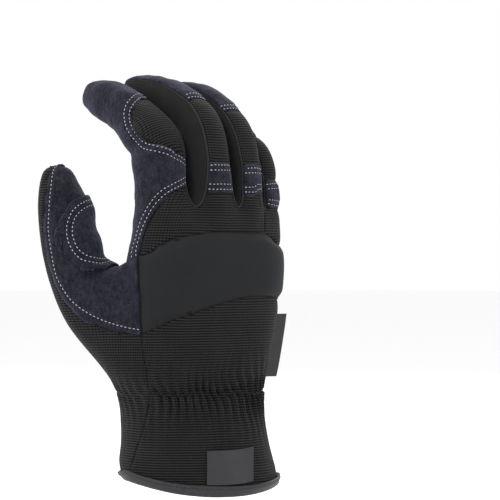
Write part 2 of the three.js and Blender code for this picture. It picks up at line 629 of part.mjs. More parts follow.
// The oval inset reaches from the seam along the finger's outer side round to its thumb's side. Past
// its ends the field falls away.
const insideOval = (p, [u, v]) => {
  const { from, to, reach, fall } = indexOval;
  const around = u > INNER_PALM ? u - FINGER_POINTS : u;
  const t = (2 * v - from - to) / (to - from);
  if (Math.abs(t) >= 1) return -1 - around - fall * (Math.abs(t) - 1);
  return around - BACK_CORNER + reach * Math.sqrt(1 - t * t);
};
const insidePatch = (p) => {
  const across = (p.x / palm.width - thumbPatch.across) / thumbPatch.half.across;
  const up = (p.z / knuckleHeight - thumbPatch.up) / thumbPatch.half.up;
  return 1 - Math.hypot(across, up);
};
const aboveStripFoot = (name) => (p) => p.z / knuckleHeight - stripFoot[name];
const aboveStripTop = (name) => (p) => p.z - stripFoot[name] * knuckleHeight - knuckleStripWidth;

// Points of the thumb's rings: the front up to THUMB_WEB, the back up to THUMB_NAIL, then the nail's
// side. The ring is closed after THUMB_POINTS.
const THUMB_WEB = 5;
const THUMB_NAIL = 11;
const THUMB_POINTS = 12;
// The ring where the panels of the thumb's root end and those of its length begin.
const thumbPanelSplit = 3;
const middleUv = (face) => face.uv.reduce(
  ([a, b], [u, v]) => [a + u / face.uv.length, b + v / face.uv.length], [0, 0]);
const middlePoint = (mesh, face) => face.ids
  .reduce((sum, id) => sum.addScaledVector(mesh.points[id], 1 / face.ids.length), new THREE.Vector3());
const isOn = (face, tube, uFrom, uTo, vFrom = -1, vTo = 99) => {
  const [u, v] = middleUv(face);
  return face.tube === tube && u >= uFrom && u <= uTo && v >= vFrom && v <= vTo;
};
const onThumbFront = (face, vFrom, vTo) => isOn(face, 'thumb', -1, THUMB_WEB, vFrom, vTo)
  || isOn(face, 'thumb', THUMB_NAIL, THUMB_POINTS + 1, vFrom, vTo);
const onBackOfHand = (face) => isOn(face, 'sleeve', -1, ULNAR_SIDE)
  || isOn(face, 'sleeve', RADIAL_SIDE, SLEEVE_POINTS);
// The back of the little finger reaches round its free side.
const backEnd = (name) => (name === 'little' ? OUTER_SIDE : BACK_CORNER);
const onBackOfFinger = (face, name) => isOn(face, name, -1, backEnd(name));

function cutPanels(mesh) {
  const onWholeFront = (face) => onBackOfHand(face) || onThumbFront(face, 0, thumbPanelSplit);
  cut(mesh, pastRadialSeam, onWholeFront);
  cut(mesh, aboveNeoprene, onWholeFront);
  cut(mesh, belowNeoprene, onWholeFront);
  cut(mesh, aboveKnuckleSeam, (face) => isOn(face, 'sleeve', -1, 4, 8)
    || isOn(face, 'index', -1, BACK_CORNER, 0, 3));
  cut(mesh, aboveThumbHem, (face) => onThumbFront(face, 0, thumbPanelSplit)
    || isOn(face, 'thumb', -1, THUMB_WEB, thumbPanelSplit, 5)
    || isOn(face, 'sleeve', RADIAL_SIDE, SLEEVE_POINTS, 4, 7)
    || isOn(face, 'sleeve', -1, 3, 4, 7));
  cut(mesh, pastNailSeam, (face) => onThumbFront(face, thumbPanelSplit));
  cut(mesh, pastBackSeam, (face) => isOn(face, 'thumb', THUMB_WEB, THUMB_NAIL));
  cut(mesh, pastPalmSeam, (face) => isOn(face, 'sleeve', ULNAR_SIDE, RADIAL_SIDE, 0, 7));
  cut(mesh, pastSaddle, (face) => isOn(face, 'sleeve', ULNAR_SIDE, SLEEVE_POINTS, 4)
    || isOn(face, 'sleeve', -1, 2, 9));
  cut(mesh, insideOval, (face) => isOn(face, 'index', -1, BACK_CORNER)
    || isOn(face, 'index', INNER_SIDE, FINGER_POINTS));
  Object.keys(stripFoot).forEach((name) => {
    const underCap = (face) => onBackOfFinger(face, name) && middleUv(face)[1] < tipCapFrom;
    cut(mesh, aboveStripFoot(name), underCap);
    cut(mesh, aboveStripTop(name), underCap);
    cut(mesh, (p, uv) => uv[1] - tipCapFrom, (face) => onBackOfFinger(face, name));
  });
  cut(mesh, insidePatch, (face) => face.tube === 'thumb');
  for (let u = pleats.pitch / 2; u < ULNAR_SIDE; u += pleats.pitch) {
    cut(mesh, (p, uv) => uv[0] - u, (face) => isOn(face, 'sleeve', 0, ULNAR_SIDE, pleats.from, pleats.to)
      && panelOf(mesh, face) === 'wrist_back_knit');
  }
}

// The sewn panel that a face belongs to.
function panelOf(mesh, face) {
  const point = middlePoint(mesh, face);
  const uv = middleUv(face);
  if (face.tube === 'sleeve') return sleevePanel(point, uv);
  if (face.tube === 'thumb') return thumbPanel(point, uv);
  return face.tube === 'index' ? indexPanel(point, uv) : fingerPanel(face.tube, point, uv);
}

function backPanel(point, u) {
  const littleSide = 6;
  if (aboveNeoprene(point) > 0) {
    return u > littleSide && u < ULNAR_SIDE ? 'little_knuckle_knit' : 'knuckle_knit';
  }
  return belowNeoprene(point) > 0 ? 'neoprene_band' : 'wrist_back_knit';
}

function sleevePanel(point, [u, v]) {
  const [saddleTop, saddleFoot, thumbTop, indexEdge] = [8, 4, 7, 4];
  const palmOfSaddle = pastSaddle(point, [u, v]) < 0;
  if (u > RADIAL_SIDE - 2 && v > saddleTop && palmOfSaddle) return 'palm_suede';
  if (u < ULNAR_SIDE || u > RADIAL_SIDE) {
    const onIndexEdge = u < indexEdge && v > saddleTop && palmOfSaddle;
    if (onIndexEdge && aboveKnuckleSeam(point) > 0) return 'palm_suede';
    if (pastRadialSeam(point) > 0) return backPanel(point, u);
    return aboveThumbHem(point) > 0 ? 'thumb_suede' : 'thumb_side_knit';
  }
  if (v < thumbTop && pastPalmSeam(point, [u, v]) > 0) return 'thumb_side_knit';
  return v > saddleFoot && !palmOfSaddle ? 'thumb_suede' : 'palm_suede';
}

function thumbPanel(point, [u, v]) {
  if (u > THUMB_WEB && u < THUMB_NAIL) {
    return pastBackSeam(point, [u, v]) > 0 ? 'thumb_side_knit' : 'thumb_suede';
  }
  if (v < thumbPanelSplit && pastRadialSeam(point) > 0) return backPanel(point, 0);
  const isSuede = v < thumbPanelSplit ? aboveThumbHem(point) > 0 : pastNailSeam(point) > 0;
  return isSuede ? 'thumb_suede' : 'thumb_side_knit';
}

function indexPanel(point, [u, v]) {
  const backFoot = 3;
  if ((u < BACK_CORNER || u > INNER_SIDE) && insideOval(point, [u, v]) > 0) return 'index_back_knit';
  if (u < BACK_CORNER) {
    return v < backFoot && aboveKnuckleSeam(point) < 0 ? 'knuckle_knit' : 'palm_suede';
  }
  return u < PALM_CORNER && v < fingerRings.length ? 'fourchette_index_middle' : 'palm_suede';
}

function fingerPanel(name, point, [u, v]) {
  const before = { middle: 'index_middle', ring: 'middle_ring', little: 'ring_little' }[name];
  const after = { middle: 'middle_ring', ring: 'ring_little' }[name] ?? before;
  if (v > fingerRings.length) {
    const nearThumb = u < BACK_CORNER / 2 || u > INNER_PALM - 1;
    return `fourchette_${name === 'middle' && !nearThumb ? after : before}`;
  }
  if (u > INNER_PALM) return `fourchette_${before}`;
  if (u < backEnd(name)) {
    if (v > tipCapFrom) return `${name}_tip_cap`;
    if (aboveStripTop(name)(point) > 0) return `${name}_back_knit`;
    if (aboveStripFoot(name)(point) > 0) return `${name}_strip`;
    return name === 'little' ? 'little_knuckle_knit' : 'knuckle_knit';
  }
  return u < PALM_CORNER && name !== 'little' ? `fourchette_${after}` : 'palm_suede';
}

// Presses the pleats of the gathered wrist into the cloth, deepest on the elastic line.
function gatherWrist(mesh) {
  const normals = normalsOf(mesh);
  const shift = new Map();
  mesh.faces.forEach((face) => {
    const inside = face.tube === 'sleeve' && panelOf(mesh, face) === 'wrist_back_knit';
    face.ids.forEach((id, k) => {
      if (!inside) {
        shift.set(id, 0);
        return;
      }
      if (shift.get(id) === 0) return;
      const [u] = face.uv[k];
      const rise = (mesh.points[id].z - gather.up * knuckleHeight) / gather.reach;
      shift.set(id, gather.depth * Math.cos((2 * Math.PI * u) / pleats.pitch) * Math.exp(-rise * rise));
    });
  });
  shift.forEach((amount, id) => mesh.points[id].addScaledVector(normals[id], amount));
}

const cloths = {
  suede: { outer: suedeWall - knitWall, inner: -knitWall, colour: 0x2d2d3e, roughness: 0.95 },
  knit: { outer: 0, inner: -knitWall, colour: 0x232321, roughness: 0.9 },
  neoprene: { outer: neopreneWall - knitWall, inner: -knitWall, colour: 0x2a2f32, roughness: 0.7 },
  smooth: { outer: 0, inner: -knitWall, colour: 0x1c1c1e, roughness: 0.6 },
  patch: {
    outer: suedeWall - knitWall + seamGap + patchWall,
    inner: suedeWall - knitWall + seamGap,
    colour: 0x303044,
    roughness: 0.95,
  },
  tape: { colour: 0x3c3e44, roughness: 0.45 },
  woven: { colour: 0x323237, roughness: 0.7 },
};
const panels = {
  palm_suede: cloths.suede,
  thumb_suede: cloths.suede,
  thumb_side_knit: cloths.knit,
  wrist_back_knit: cloths.knit,
  neoprene_band: cloths.neoprene,
  knuckle_knit: cloths.knit,
  little_knuckle_knit: cloths.knit,
  index_back_knit: cloths.knit,
  middle_back_knit: cloths.knit,
  ring_back_knit: cloths.knit,
  little_back_knit: cloths.knit,
  middle_strip: cloths.suede,
  ring_strip: cloths.suede,
  little_strip: cloths.suede,
  middle_tip_cap: cloths.suede,
  ring_tip_cap: cloths.suede,
  little_tip_cap: cloths.suede,
  fourchette_index_middle: cloths.smooth,
  fourchette_middle_ring: cloths.smooth,
  fourchette_ring_little: cloths.smooth,
};

const glove = new THREE.Group();
function addPiece(name, cloth, vertices, triangles) {
  const geometry = new THREE.BufferGeometry();
  const numbers = vertices.flatMap((p) => p.toArray());
  geometry.setAttribute('position', new THREE.Float32BufferAttribute(numbers, 3));
  geometry.setIndex(triangles.flat());
  geometry.computeVertexNormals();
  const { colour, roughness } = cloth;
  const material = new THREE.MeshStandardMaterial({ color: colour, roughness, metalness: 0 });
  const mesh = new THREE.Mesh(geometry, material);
  mesh.name = name;
  glove.add(mesh);
}

// A closed solid from some of the skin's faces: an outer and an inner wall, joined round the edge.
// The edge is drawn in by half of the gap between sewn pieces.
function sewPanel(name, cloth, mesh, normals, faces) {
  const edges = new Map();
  faces.forEach(({ ids }) => ids.forEach((a, k) => {
    const b = ids[(k + 1) % ids.length];
    edges.set(`${a} ${b}`, [a, b]);
  }));
  const rim = [...edges.values()].filter(([a, b]) => !edges.has(`${b} ${a}`));
  const inset = new Map();
  rim.forEach(([a, b]) => {
    const direction = mesh.points[b].clone().sub(mesh.points[a]);
    [a, b].forEach((id) => {
      const inwards = normals[id].clone().cross(direction).normalize();
      if (!inset.has(id)) inset.set(id, []);
      inset.get(id).push(inwards);
    });
  });
  const vertices = [];
  const numbers = new Map();
  const wallPoint = (point, normal) => {
    vertices.push(...[cloth.outer, cloth.inner].map((depth) => point.clone().addScaledVector(normal, depth)));
    return vertices.length - 2;
  };
  const numberOf = (id) => {
    if (numbers.has(id)) return numbers.get(id);
    const point = mesh.points[id].clone();
    const sides = inset.get(id);
    if (sides) {
      const sum = sides.reduce((total, side) => total.add(side), new THREE.Vector3());
      const sharpest = 0.2;
      const share = Math.max(sharpest, sum.lengthSq() / (sides.length * sides.length));
      point.addScaledVector(sum, seamGap / 2 / sides.length / share);
    }
    const made = wallPoint(point, normals[id]);
    numbers.set(id, made);
    return made;
  };
  const triangles = [];
  const addTriangle = (a, b, c) => triangles.push([a, b, c], [c + 1, b + 1, a + 1]);
  faces.forEach(({ ids }) => {
    const n = ids.map(numberOf);
    const corner = (k) => n[k % n.length];
    const fan = (start) => n.slice(2).map((_, k) => [start, start + k + 1, start + k + 2].map(corner));
    const reach = (a, b) => vertices[b].clone().sub(vertices[a]);
    const areaOf = ([a, b, c]) => reach(a, b).cross(reach(a, c)).length();
    const thinnest = (start) => Math.min(...fan(start).map(areaOf));
    const starts = n.map((_, k) => k).sort((p, q) => thinnest(q) - thinnest(p));
    fan(n.length > 4 ? starts[0] : 0).forEach((corners) => addTriangle(...corners));
  });
  rim.forEach(([a, b]) => {
    const [p, q] = [numberOf(a), numberOf(b)];
    // Both panels at a seam fold their edges along the same diagonal.
    if (a < b) triangles.push([q, p, q + 1], [p, p + 1, q + 1]);
    else triangles.push([q, p, p + 1], [q, p + 1, q + 1]);
  });
  addPiece(name, cloth, vertices, triangles);
}

// A solid swept through sections of equally many points. A closed sweep joins its ends.
function sweep(name, cloth, sections, closed) {
  const count = sections[0].length;
  const triangles = [];
  const last = closed ? sections.length : sections.length - 1;
  for (let i = 0; i < last; i++) {
    const [from, to] = [i * count, ((i + 1) % sections.length) * count];
    for (let k = 0; k < count; k++) {
      const next = (k + 1) % count;
      triangles.push([from + k, from + next, to + next], [from + k, to + next, to + k]);
    }
  }
  if (!closed) {
    const end = (sections.length - 1) * count;
    for (let k = 1; k + 1 < count; k++) triangles.push([0, k + 1, k], [end, end + k, end + k + 1]);
  }
  addPiece(name, cloth, sections.flat(), triangles);
}

// The tape folded round the hem.
function bindHem(mesh, normals) {
  const hem = new Map();
  mesh.faces.filter((face) => face.tube === 'sleeve').forEach((face) => face.ids.forEach((id, k) => {
    if (face.uv[k][1] === 0) hem.set(id, face.uv[k][0] % SLEEVE_POINTS);
  }));
  const order = [...hem.entries()].sort((a, b) => a[1] - b[1]).map(([id]) => id);
  const outerLeg = cloths.suede.outer + seamGap;
  const innerLeg = cloths.knit.inner - seamGap;
  const slot = seamGap / 2;
  const top = -(binding.height - slot - binding.wall);
  const profile = [
    [outerLeg, top], [outerLeg + binding.wall, top], [outerLeg + binding.wall, slot + binding.wall],
    [innerLeg - binding.wall, slot + binding.wall], [innerLeg - binding.wall, top], [innerLeg, top],
    [innerLeg, slot], [outerLeg, slot],
  ];
  const sections = order.map((id) => {
    const normal = normals[id];
    const upwards = UP.clone().addScaledVector(normal, -normal.z).normalize();
    return profile.map(([out, down]) => mesh.points[id].clone().addScaledVector(normal, out)
      .addScaledVector(upwards, -down));
  });
  sweep('cuff_binding', cloths.tape, sections, true);
}

// The point and outward direction of the back of the cuff at a place seen from the front.
function frontPoint(mesh, normals, x, z) {
  for (const { ids } of mesh.faces.filter((face) => isOn(face, 'sleeve', 0, ULNAR_SIDE, 0, 3))) {
    for (let k = 1; k + 1 < ids.length; k++) {
      const corners = [ids[0], ids[k], ids[k + 1]];
      const [a, b, c] = corners.map((id) => mesh.points[id]);
      const area = (b.x - a.x) * (c.z - a.z) - (c.x - a.x) * (b.z - a.z);
      const wb = ((x - a.x) * (c.z - a.z) - (c.x - a.x) * (z - a.z)) / area;
      const wc = ((b.x - a.x) * (z - a.z) - (x - a.x) * (b.z - a.z)) / area;
      if (wb < 0 || wc < 0 || wb + wc > 1) continue;
      const weights = [1 - wb - wc, wb, wc];
      const blend = (values) => corners.reduce(
        (sum, id, i) => sum.addScaledVector(values[id], weights[i]), new THREE.Vector3());
      return { point: blend(mesh.points), normal: blend(normals).normalize() };
    }
  }
  return null;
}

// The woven label, sewn on above the hem tape.
function addLabel(mesh, normals) {
  const [columns, rows] = [10, 7];
  const searchStep = 0.05;
  const left = label.across * palm.width;
  const foot = binding.height + seamGap;
  const grid = [];
  for (let i = 0; i <= columns; i++) {
    const x = left + (label.width * i) / columns;
    let hem = -2 * hemDip;
    while (!frontPoint(mesh, normals, x, hem)) hem += searchStep;
    for (let j = 0; j <= rows; j++) {
      grid.push(frontPoint(mesh, normals, x, hem + foot + (label.height * j) / rows));
    }
  }
  const lift = label.clearance;
  const vertices = grid.flatMap(({ point, normal }) => [
    point.clone().addScaledVector(normal, lift + labelWall), point.clone().addScaledVector(normal, lift)]);
  const triangles = [];
  const number = (i, j) => 2 * (i * (rows + 1) + j);
  const addQuad = (a, b, c, d) => triangles.push([a, b, c], [a, c, d]);
  for (let i = 0; i < columns; i++) {
    for (let j = 0; j < rows; j++) {
      const [a, b, c, d] = [number(i, j), number(i + 1, j), number(i + 1, j + 1), number(i, j + 1)];
      addQuad(a, b, c, d);
      addQuad(d + 1, c + 1, b + 1, a + 1);
    }
  }
  for (let i = 0; i < columns; i++) {
    addQuad(number(i, 0), number(i, 0) + 1, number(i + 1, 0) + 1, number(i + 1, 0));
    addQuad(number(i + 1, rows), number(i + 1, rows) + 1, number(i, rows) + 1, number(i, rows));
  }
  for (let j = 0; j < rows; j++) {
    addQuad(number(0, j + 1), number(0, j + 1) + 1, number(0, j) + 1, number(0, j));
    addQuad(number(columns, j), number(columns, j) + 1, number(columns, j + 1) + 1, number(columns, j + 1));
  }
  addPiece('cuff_label', cloths.woven, vertices, triangles);
}

// The folded tag, caught in the seam on the little finger's side.
function addTag(mesh, normals) {
  const seam = new Map();
  mesh.faces.filter((face) => face.tube === 'sleeve').forEach((face) => face.ids.forEach((id, k) => {
    if (face.uv[k][0] === ULNAR_SIDE) seam.set(id, { z: mesh.points[id].z, id });
  }));
  const rows = [...seam.values()].sort((a, b) => a.z - b.z)
    .map(({ z, id }) => {
      const [point, normal] = [mesh.points[id], normals[id]];
      return { z, x: point.x, y: point.y, nx: normal.x, ny: normal.y };
    });
  const steps = 6;
  const sections = [];
  for (let i = 0; i <= steps; i++) {
    const z = tag.up * knuckleHeight + (tag.length * i) / steps;
    const at = (name) => along(rows, 'z', name, z);
    const out = new THREE.Vector3(at('nx'), at('ny'), 0).normalize();
    const side = out.clone().cross(UP);
    const seat = new THREE.Vector3(at('x'), at('y'), z).addScaledVector(out, cloths.neoprene.outer + seamGap);
    const corner = (far, half) => seat.clone()
      .addScaledVector(out, far * tag.width)
      .addScaledVector(side, half * tag.wall);
    sections.push([corner(0, 0.5), corner(1, 0.5), corner(1, -0.5), corner(0, -0.5)]);
  }
  sweep('side_tag', cloths.woven, sections, false);
}

buildCage();
const skin = rounded(cage);
softenCrotches(skin);
foldCloth(skin);
cutPanels(skin);
gatherWrist(skin);
const skinNormals = normalsOf(skin);
Object.entries(panels).forEach(([name, cloth]) => {
  sewPanel(name, cloth, skin, skinNormals, skin.faces.filter((face) => panelOf(skin, face) === name));
});
sewPanel('thumb_patch', cloths.patch, skin, skinNormals, skin.faces.filter((face) => face.tube === 'thumb'
  && insidePatch(middlePoint(skin, face)) > 0 && panelOf(skin, face) === 'thumb_suede'));
bindHem(skin, skinNormals);
addLabel(skin, skinNormals);
addTag(skin, skinNormals);

export default glove;
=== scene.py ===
import math

import bmesh
import bpy
import numpy as np
from mathutils import Matrix, Vector, noise
from mathutils.bvhtree import BVHTree
from mathutils.kdtree import KDTree


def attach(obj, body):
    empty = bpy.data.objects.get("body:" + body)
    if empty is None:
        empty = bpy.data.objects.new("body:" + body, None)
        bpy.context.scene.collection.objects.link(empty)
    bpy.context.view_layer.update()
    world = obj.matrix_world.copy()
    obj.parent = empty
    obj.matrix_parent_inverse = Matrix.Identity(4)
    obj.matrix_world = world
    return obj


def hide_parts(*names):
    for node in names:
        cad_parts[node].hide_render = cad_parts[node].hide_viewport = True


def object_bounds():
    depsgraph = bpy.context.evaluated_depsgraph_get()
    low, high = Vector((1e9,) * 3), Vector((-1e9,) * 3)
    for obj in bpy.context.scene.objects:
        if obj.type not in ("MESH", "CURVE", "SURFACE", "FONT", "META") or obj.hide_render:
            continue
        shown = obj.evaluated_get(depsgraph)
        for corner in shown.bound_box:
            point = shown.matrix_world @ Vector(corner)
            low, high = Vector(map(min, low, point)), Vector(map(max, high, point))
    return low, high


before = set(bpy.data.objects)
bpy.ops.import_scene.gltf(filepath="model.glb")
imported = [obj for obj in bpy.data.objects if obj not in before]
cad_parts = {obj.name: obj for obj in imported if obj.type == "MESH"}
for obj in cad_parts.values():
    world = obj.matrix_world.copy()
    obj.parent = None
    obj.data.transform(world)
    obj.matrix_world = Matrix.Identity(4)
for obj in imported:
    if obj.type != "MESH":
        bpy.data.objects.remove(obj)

cad_box = [list(corner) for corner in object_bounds()]

# The studio: a camera at the photograph's angle, a wide white floor below the hem, and soft light
# from three large lamps and a white sky.
camera_data = bpy.data.cameras.new("camera")
camera_data.lens = 160
camera_data.sensor_width = 36
camera = bpy.data.objects.new("camera", camera_data)
camera.location = (0.0278, -1.2, 0.1253)
camera.rotation_euler = (math.radians(90), 0, 0)
bpy.context.scene.collection.objects.link(camera)
bpy.context.scene.camera = camera
bpy.context.scene.view_settings.view_transform = "Standard"

floor_bm = bmesh.new()
bmesh.ops.create_circle(floor_bm, cap_ends=True, segments=96, radius=9,
                        matrix=Matrix.Translation((0, 0, -0.06)))
floor_mesh = bpy.data.meshes.new("floor")
floor_bm.to_mesh(floor_mesh)
floor = bpy.data.objects.new("floor", floor_mesh)
bpy.context.scene.collection.objects.link(floor)
floor_material = bpy.data.materials.new("white floor")
floor_material.use_nodes = True
floor_shader = floor_material.node_tree.nodes["Principled BSDF"]
floor_shader.inputs["Base Color"].default_value = (0.95, 0.95, 0.95, 1)
floor_shader.inputs["Roughness"].default_value = 0.9
floor_mesh.materials.append(floor_material)

world = bpy.data.worlds.new("white sky")
bpy.context.scene.world = world
world.use_nodes = True
world.node_tree.nodes["Background"].inputs["Color"].default_value = (1, 1, 1, 1)
world.node_tree.nodes["Background"].inputs["Strength"].default_value = 1.0

glove_middle = Vector(((cad_box[0][k] + cad_box[1][k]) / 2 for k in range(3)))
lamps = [
    {"name": "key", "at": (-0.8, -0.8, 1.2), "size": 0.5, "power": 14},
    {"name": "fill", "at": (1.1, -0.9, 0.5), "size": 0.9, "power": 3},
    {"name": "back", "at": (0.3, 1.2, 1.1), "size": 0.7, "power": 9},
]
for lamp in lamps:
    light = bpy.data.lights.new(lamp["name"], "AREA")
    light.size = lamp["size"]
    light.energy = lamp["power"]
    light_object = bpy.data.objects.new(lamp["name"], light)
    light_object.location = lamp["at"]
    direction = glove_middle - Vector(lamp["at"])
    light_object.rotation_euler = direction.to_track_quat("-Z", "Y").to_euler()
    bpy.context.scene.collection.objects.link(light_object)

# The sewn skin under every panel. The real glove's panels are cut flat, sewn edge to edge inside out
# and turned, so that their inner faces make one surface. Here the inner walls of the frame's panels
# are sewn into one skin, whose seams are drawn out straight before it is rounded and eased.
MM = 0.001
panel_names = [
    "palm_suede", "thumb_suede", "thumb_side_knit", "wrist_back_knit", "neoprene_band",
    "knuckle_knit", "little_knuckle_knit", "index_back_knit", "middle_back_knit",
    "ring_back_knit", "little_back_knit", "middle_strip", "ring_strip", "little_strip",
    "middle_tip_cap", "ring_tip_cap", "little_tip_cap",
    "fourchette_index_middle", "fourchette_middle_ring", "fourchette_ring_little",
]
cloth_walls = (1.2, 1.3, 1.7, 2.1)
merged = 2e-6


def inner_wall(node):
    """The inner wall of one of the frame's panels, which is the smaller of its two, facing outwards."""
    rung_play = 1e-6
    bm = bmesh.new()
    bm.from_mesh(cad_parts[node].data)
    bmesh.ops.remove_doubles(bm, verts=bm.verts, dist=merged)
    rungs = max(([e for e in bm.edges if abs(e.calc_length() - wall * MM) < rung_play]
                 for wall in cloth_walls), key=len)
    rim = {face for edge in rungs for face in edge.link_faces}
    bmesh.ops.delete(bm, geom=list(rim), context="FACES_ONLY")
    bmesh.ops.delete(bm, geom=[e for e in bm.edges if not e.link_faces], context="EDGES")
    walls, seen = [], set()
    for start in bm.faces:
        if start in seen:
            continue
        seen.add(start)
        wall, waiting = [], [start]
        while waiting:
            face = waiting.pop()
            wall.append(face)
            for neighbour in {f for edge in face.edges for f in edge.link_faces} - seen:
                seen.add(neighbour)
                waiting.append(neighbour)
        walls.append(wall)
    walls.sort(key=lambda wall: sum(face.calc_area() for face in wall))
    for wall in walls[1:]:
        bmesh.ops.delete(bm, geom=wall, context="FACES")
    bmesh.ops.reverse_faces(bm, faces=bm.faces)
    return bm


def is_seam(edge):
    """Whether an edge lies between two panels or on a rim."""
    return len({face.material_index for face in edge.link_faces}) > 1 or edge.is_boundary


def ease_seams(bm, passes, held=()):
    """Eases seams along themselves. Points where three meet stay, and so do seams of held panels."""
    bm.verts.index_update()
    bm.verts.ensure_lookup_table()
    at = np.array([v.co for v in bm.verts])
    eased, before, after = [], [], []
    for vert in bm.verts:
        near = [e.other_vert(vert).index for e in vert.link_edges if is_seam(e)]
        if len(near) == 2 and not any(face.material_index in held for face in vert.link_faces):
            eased.append(vert.index)
            before.append(near[0])
            after.append(near[1])
    for _ in range(passes):
        at[eased] = at[eased] / 2 + (at[before] + at[after]) / 4
    for i in eased:
        bm.verts[i].co = at[i]


def relax(bm, verts, passes):
    """Draws vertices halfway to the middle of their neighbours, several times over."""
    for _ in range(passes):
        bmesh.ops.smooth_vert(bm, verts=verts, factor=0.5,
                              use_axis_x=True, use_axis_y=True, use_axis_z=True)


def rounded(bm, levels, passes):
    """The bmesh with its triangles joined in pairs, subdivided and eased."""
    bmesh.ops.join_triangles(
        bm, faces=bm.faces, cmp_materials=True,
        angle_face_threshold=math.radians(40), angle_shape_threshold=math.radians(70))
    mesh = bpy.data.meshes.new("rounding")
    bm.to_mesh(mesh)
    shape = bpy.data.objects.new("rounding", mesh)
    bpy.context.scene.collection.objects.link(shape)
    rounding = shape.modifiers.new("rounding", "SUBSURF")
    rounding.levels = rounding.render_levels = levels
    dense = bpy.data.meshes.new_from_object(shape.evaluated_get(bpy.context.evaluated_depsgraph_get()))
    bpy.data.objects.remove(shape)
    made = bmesh.new()
    made.from_mesh(dense)
    relax(made, [v for v in made.verts if not v.is_boundary], passes)
    made.normal_update()
    made.verts.ensure_lookup_table()
    return made


def tree_of(points):
    """A tree that finds the nearest of some points."""
    tree = KDTree(len(points))
    for i, point in enumerate(points):
        tree.insert(point, i)
    tree.balance()
    return tree


sewn = bmesh.new()
for number, name in enumerate(panel_names):
    wall = inner_wall(name)
    for face in wall.faces:
        face.material_index = number
    loose = bpy.data.meshes.new(name)
    wall.to_mesh(loose)
    sewn.from_mesh(loose)

# The panels' rims lie close together. They are drawn together, joined, and closed where they gape.
sewing_reach, joined_within = 0.75 * MM, 0.3 * MM
rim_verts = [v for v in sewn.verts if v.is_boundary]
rim_tree = tree_of([v.co for v in rim_verts])
meeting = []
for vert in rim_verts:
    near = [co for co, _, _ in rim_tree.find_range(vert.co, sewing_reach)]
    meeting.append(sum(near, Vector()) / len(near))
for vert, place in zip(rim_verts, meeting):
    vert.co = place
bmesh.ops.remove_doubles(sewn, verts=rim_verts, dist=joined_within)
gaping = [edge for edge in sewn.edges if edge.is_boundary]
for face in bmesh.ops.holes_fill(sewn, edges=gaping, sides=5)["faces"]:
    beside = [f for edge in face.edges for f in edge.link_faces if f != face]
    face.material_index = beside[0].material_index
side_names = ["fourchette_index_middle", "fourchette_middle_ring", "fourchette_ring_little"]
side_numbers = {panel_names.index(name) for name in side_names}
ease_seams(sewn, passes=6, held=side_numbers)
skin = rounded(sewn, levels=3, passes=20)

# The suede's edge beside the knuckles, as it is seen from the front: across and up in millimetres.
knuckle_edge = np.array([[-6.8, 160.9], [-15.4, 155.5], [-21.9, 148], [-25.1, 143.6], [-29.4, 132.8],
                         [-31.1, 124.2], [-32, 118]])
eye = np.array(camera.location)
palm_number, knuckle_number = panel_names.index("palm_suede"), panel_names.index("knuckle_knit")
towards_eye = -0.2
for face in skin.faces:
    if face.material_index == palm_number and face.normal.y < towards_eye:
        x, y, z = face.calc_center_median()
        nearness = eye[1] / (eye[1] - y)
        across, up = eye[0] + (x - eye[0]) * nearness, eye[2] + (z - eye[2]) * nearness
        edge_across = np.interp(-up / MM, -knuckle_edge[:, 1], knuckle_edge[:, 0]) * MM
        if knuckle_edge[-1, 1] * MM < up < knuckle_edge[0, 1] * MM and across > edge_across:
            face.material_index = knuckle_number
ease_seams(skin, passes=250, held=side_numbers)
ease_seams(skin, passes=14)
relax(skin, [v for v in skin.verts if not any(is_seam(e) for e in v.link_edges)], passes=8)
skin.normal_update()
skin_at = np.array([v.co for v in skin.verts])
skin_normal = np.array([v.normal for v in skin.verts])
faces_of = {name: [] for name in panel_names}
for face in skin.faces:
    faces_of[panel_names[face.material_index]].append(face)


def ease(x):
    """A soft step from 0 to 1."""
    x = np.clip(x, 0, 1)
    return x * x * (3 - 2 * x)


# The index finger is filled out towards the middle finger, so that the two touch above the crotch.
filled_across, filled_up, filled_reach, filled_by = -13 * MM, 184 * MM, 17 * MM, 3.4 * MM
finger_side, side_fade, turned_from, turned_span = -2 * MM, 6 * MM, -0.1, 0.7
away = np.hypot(skin_at[:, 0] - filled_across, skin_at[:, 2] - filled_up) / filled_reach
turned = ease((skin_normal[:, 0] - turned_from) / turned_span)
on_finger = ease((finger_side - skin_at[:, 0]) / side_fade)
skin_at[:, 0] += filled_by * turned * on_finger * np.exp(-away ** 2)

# On the back of the hand the crotches between the fingers are drawn down into narrow ends.
crotches, crotch_reach, crotch_drop = [(-0.8, 149), (22.5, 149)], 10 * MM, 4.5 * MM
in_front_of = 10 * MM
for across, up in crotches:
    away = np.hypot(skin_at[:, 0] - across * MM, skin_at[:, 2] - up * MM) / crotch_reach
    skin_at[:, 2] -= crotch_drop * np.exp(-away ** 2) * (skin_at[:, 1] < in_front_of)


def seam_points(names, others=None):
    """Close points on the seams of the named panels, or only on those with the others."""
    shares = (0, 0.5)
    wanted = {panel_names.index(n) for n in names}
    across = {panel_names.index(n) for n in (panel_names if others is None else others)}
    found = []
    for edge in skin.edges:
        labels = [face.material_index for face in edge.link_faces]
        if len(labels) != 2 or labels[0] == labels[1]:
            continue
        a, b = labels
        if (a in wanted and b in across) or (b in wanted and a in across):
            start, end = (skin_at[v.index] for v in edge.verts)
            found += [start + (end - start) * share for share in shares]
    return found


def distance_to(points, places):
    """How far each place is from the nearest of the points."""
    tree = tree_of(points)
    return np.array([tree.find(place)[2] for place in places])


def soft_waves(places, scale, seed):
    """Soft noise between about -1 and 1, with the given number of waves in a metre."""
    shift = Vector((seed, 0, 0))
    return np.array([noise.noise(Vector(place) * scale + shift) for place in places])


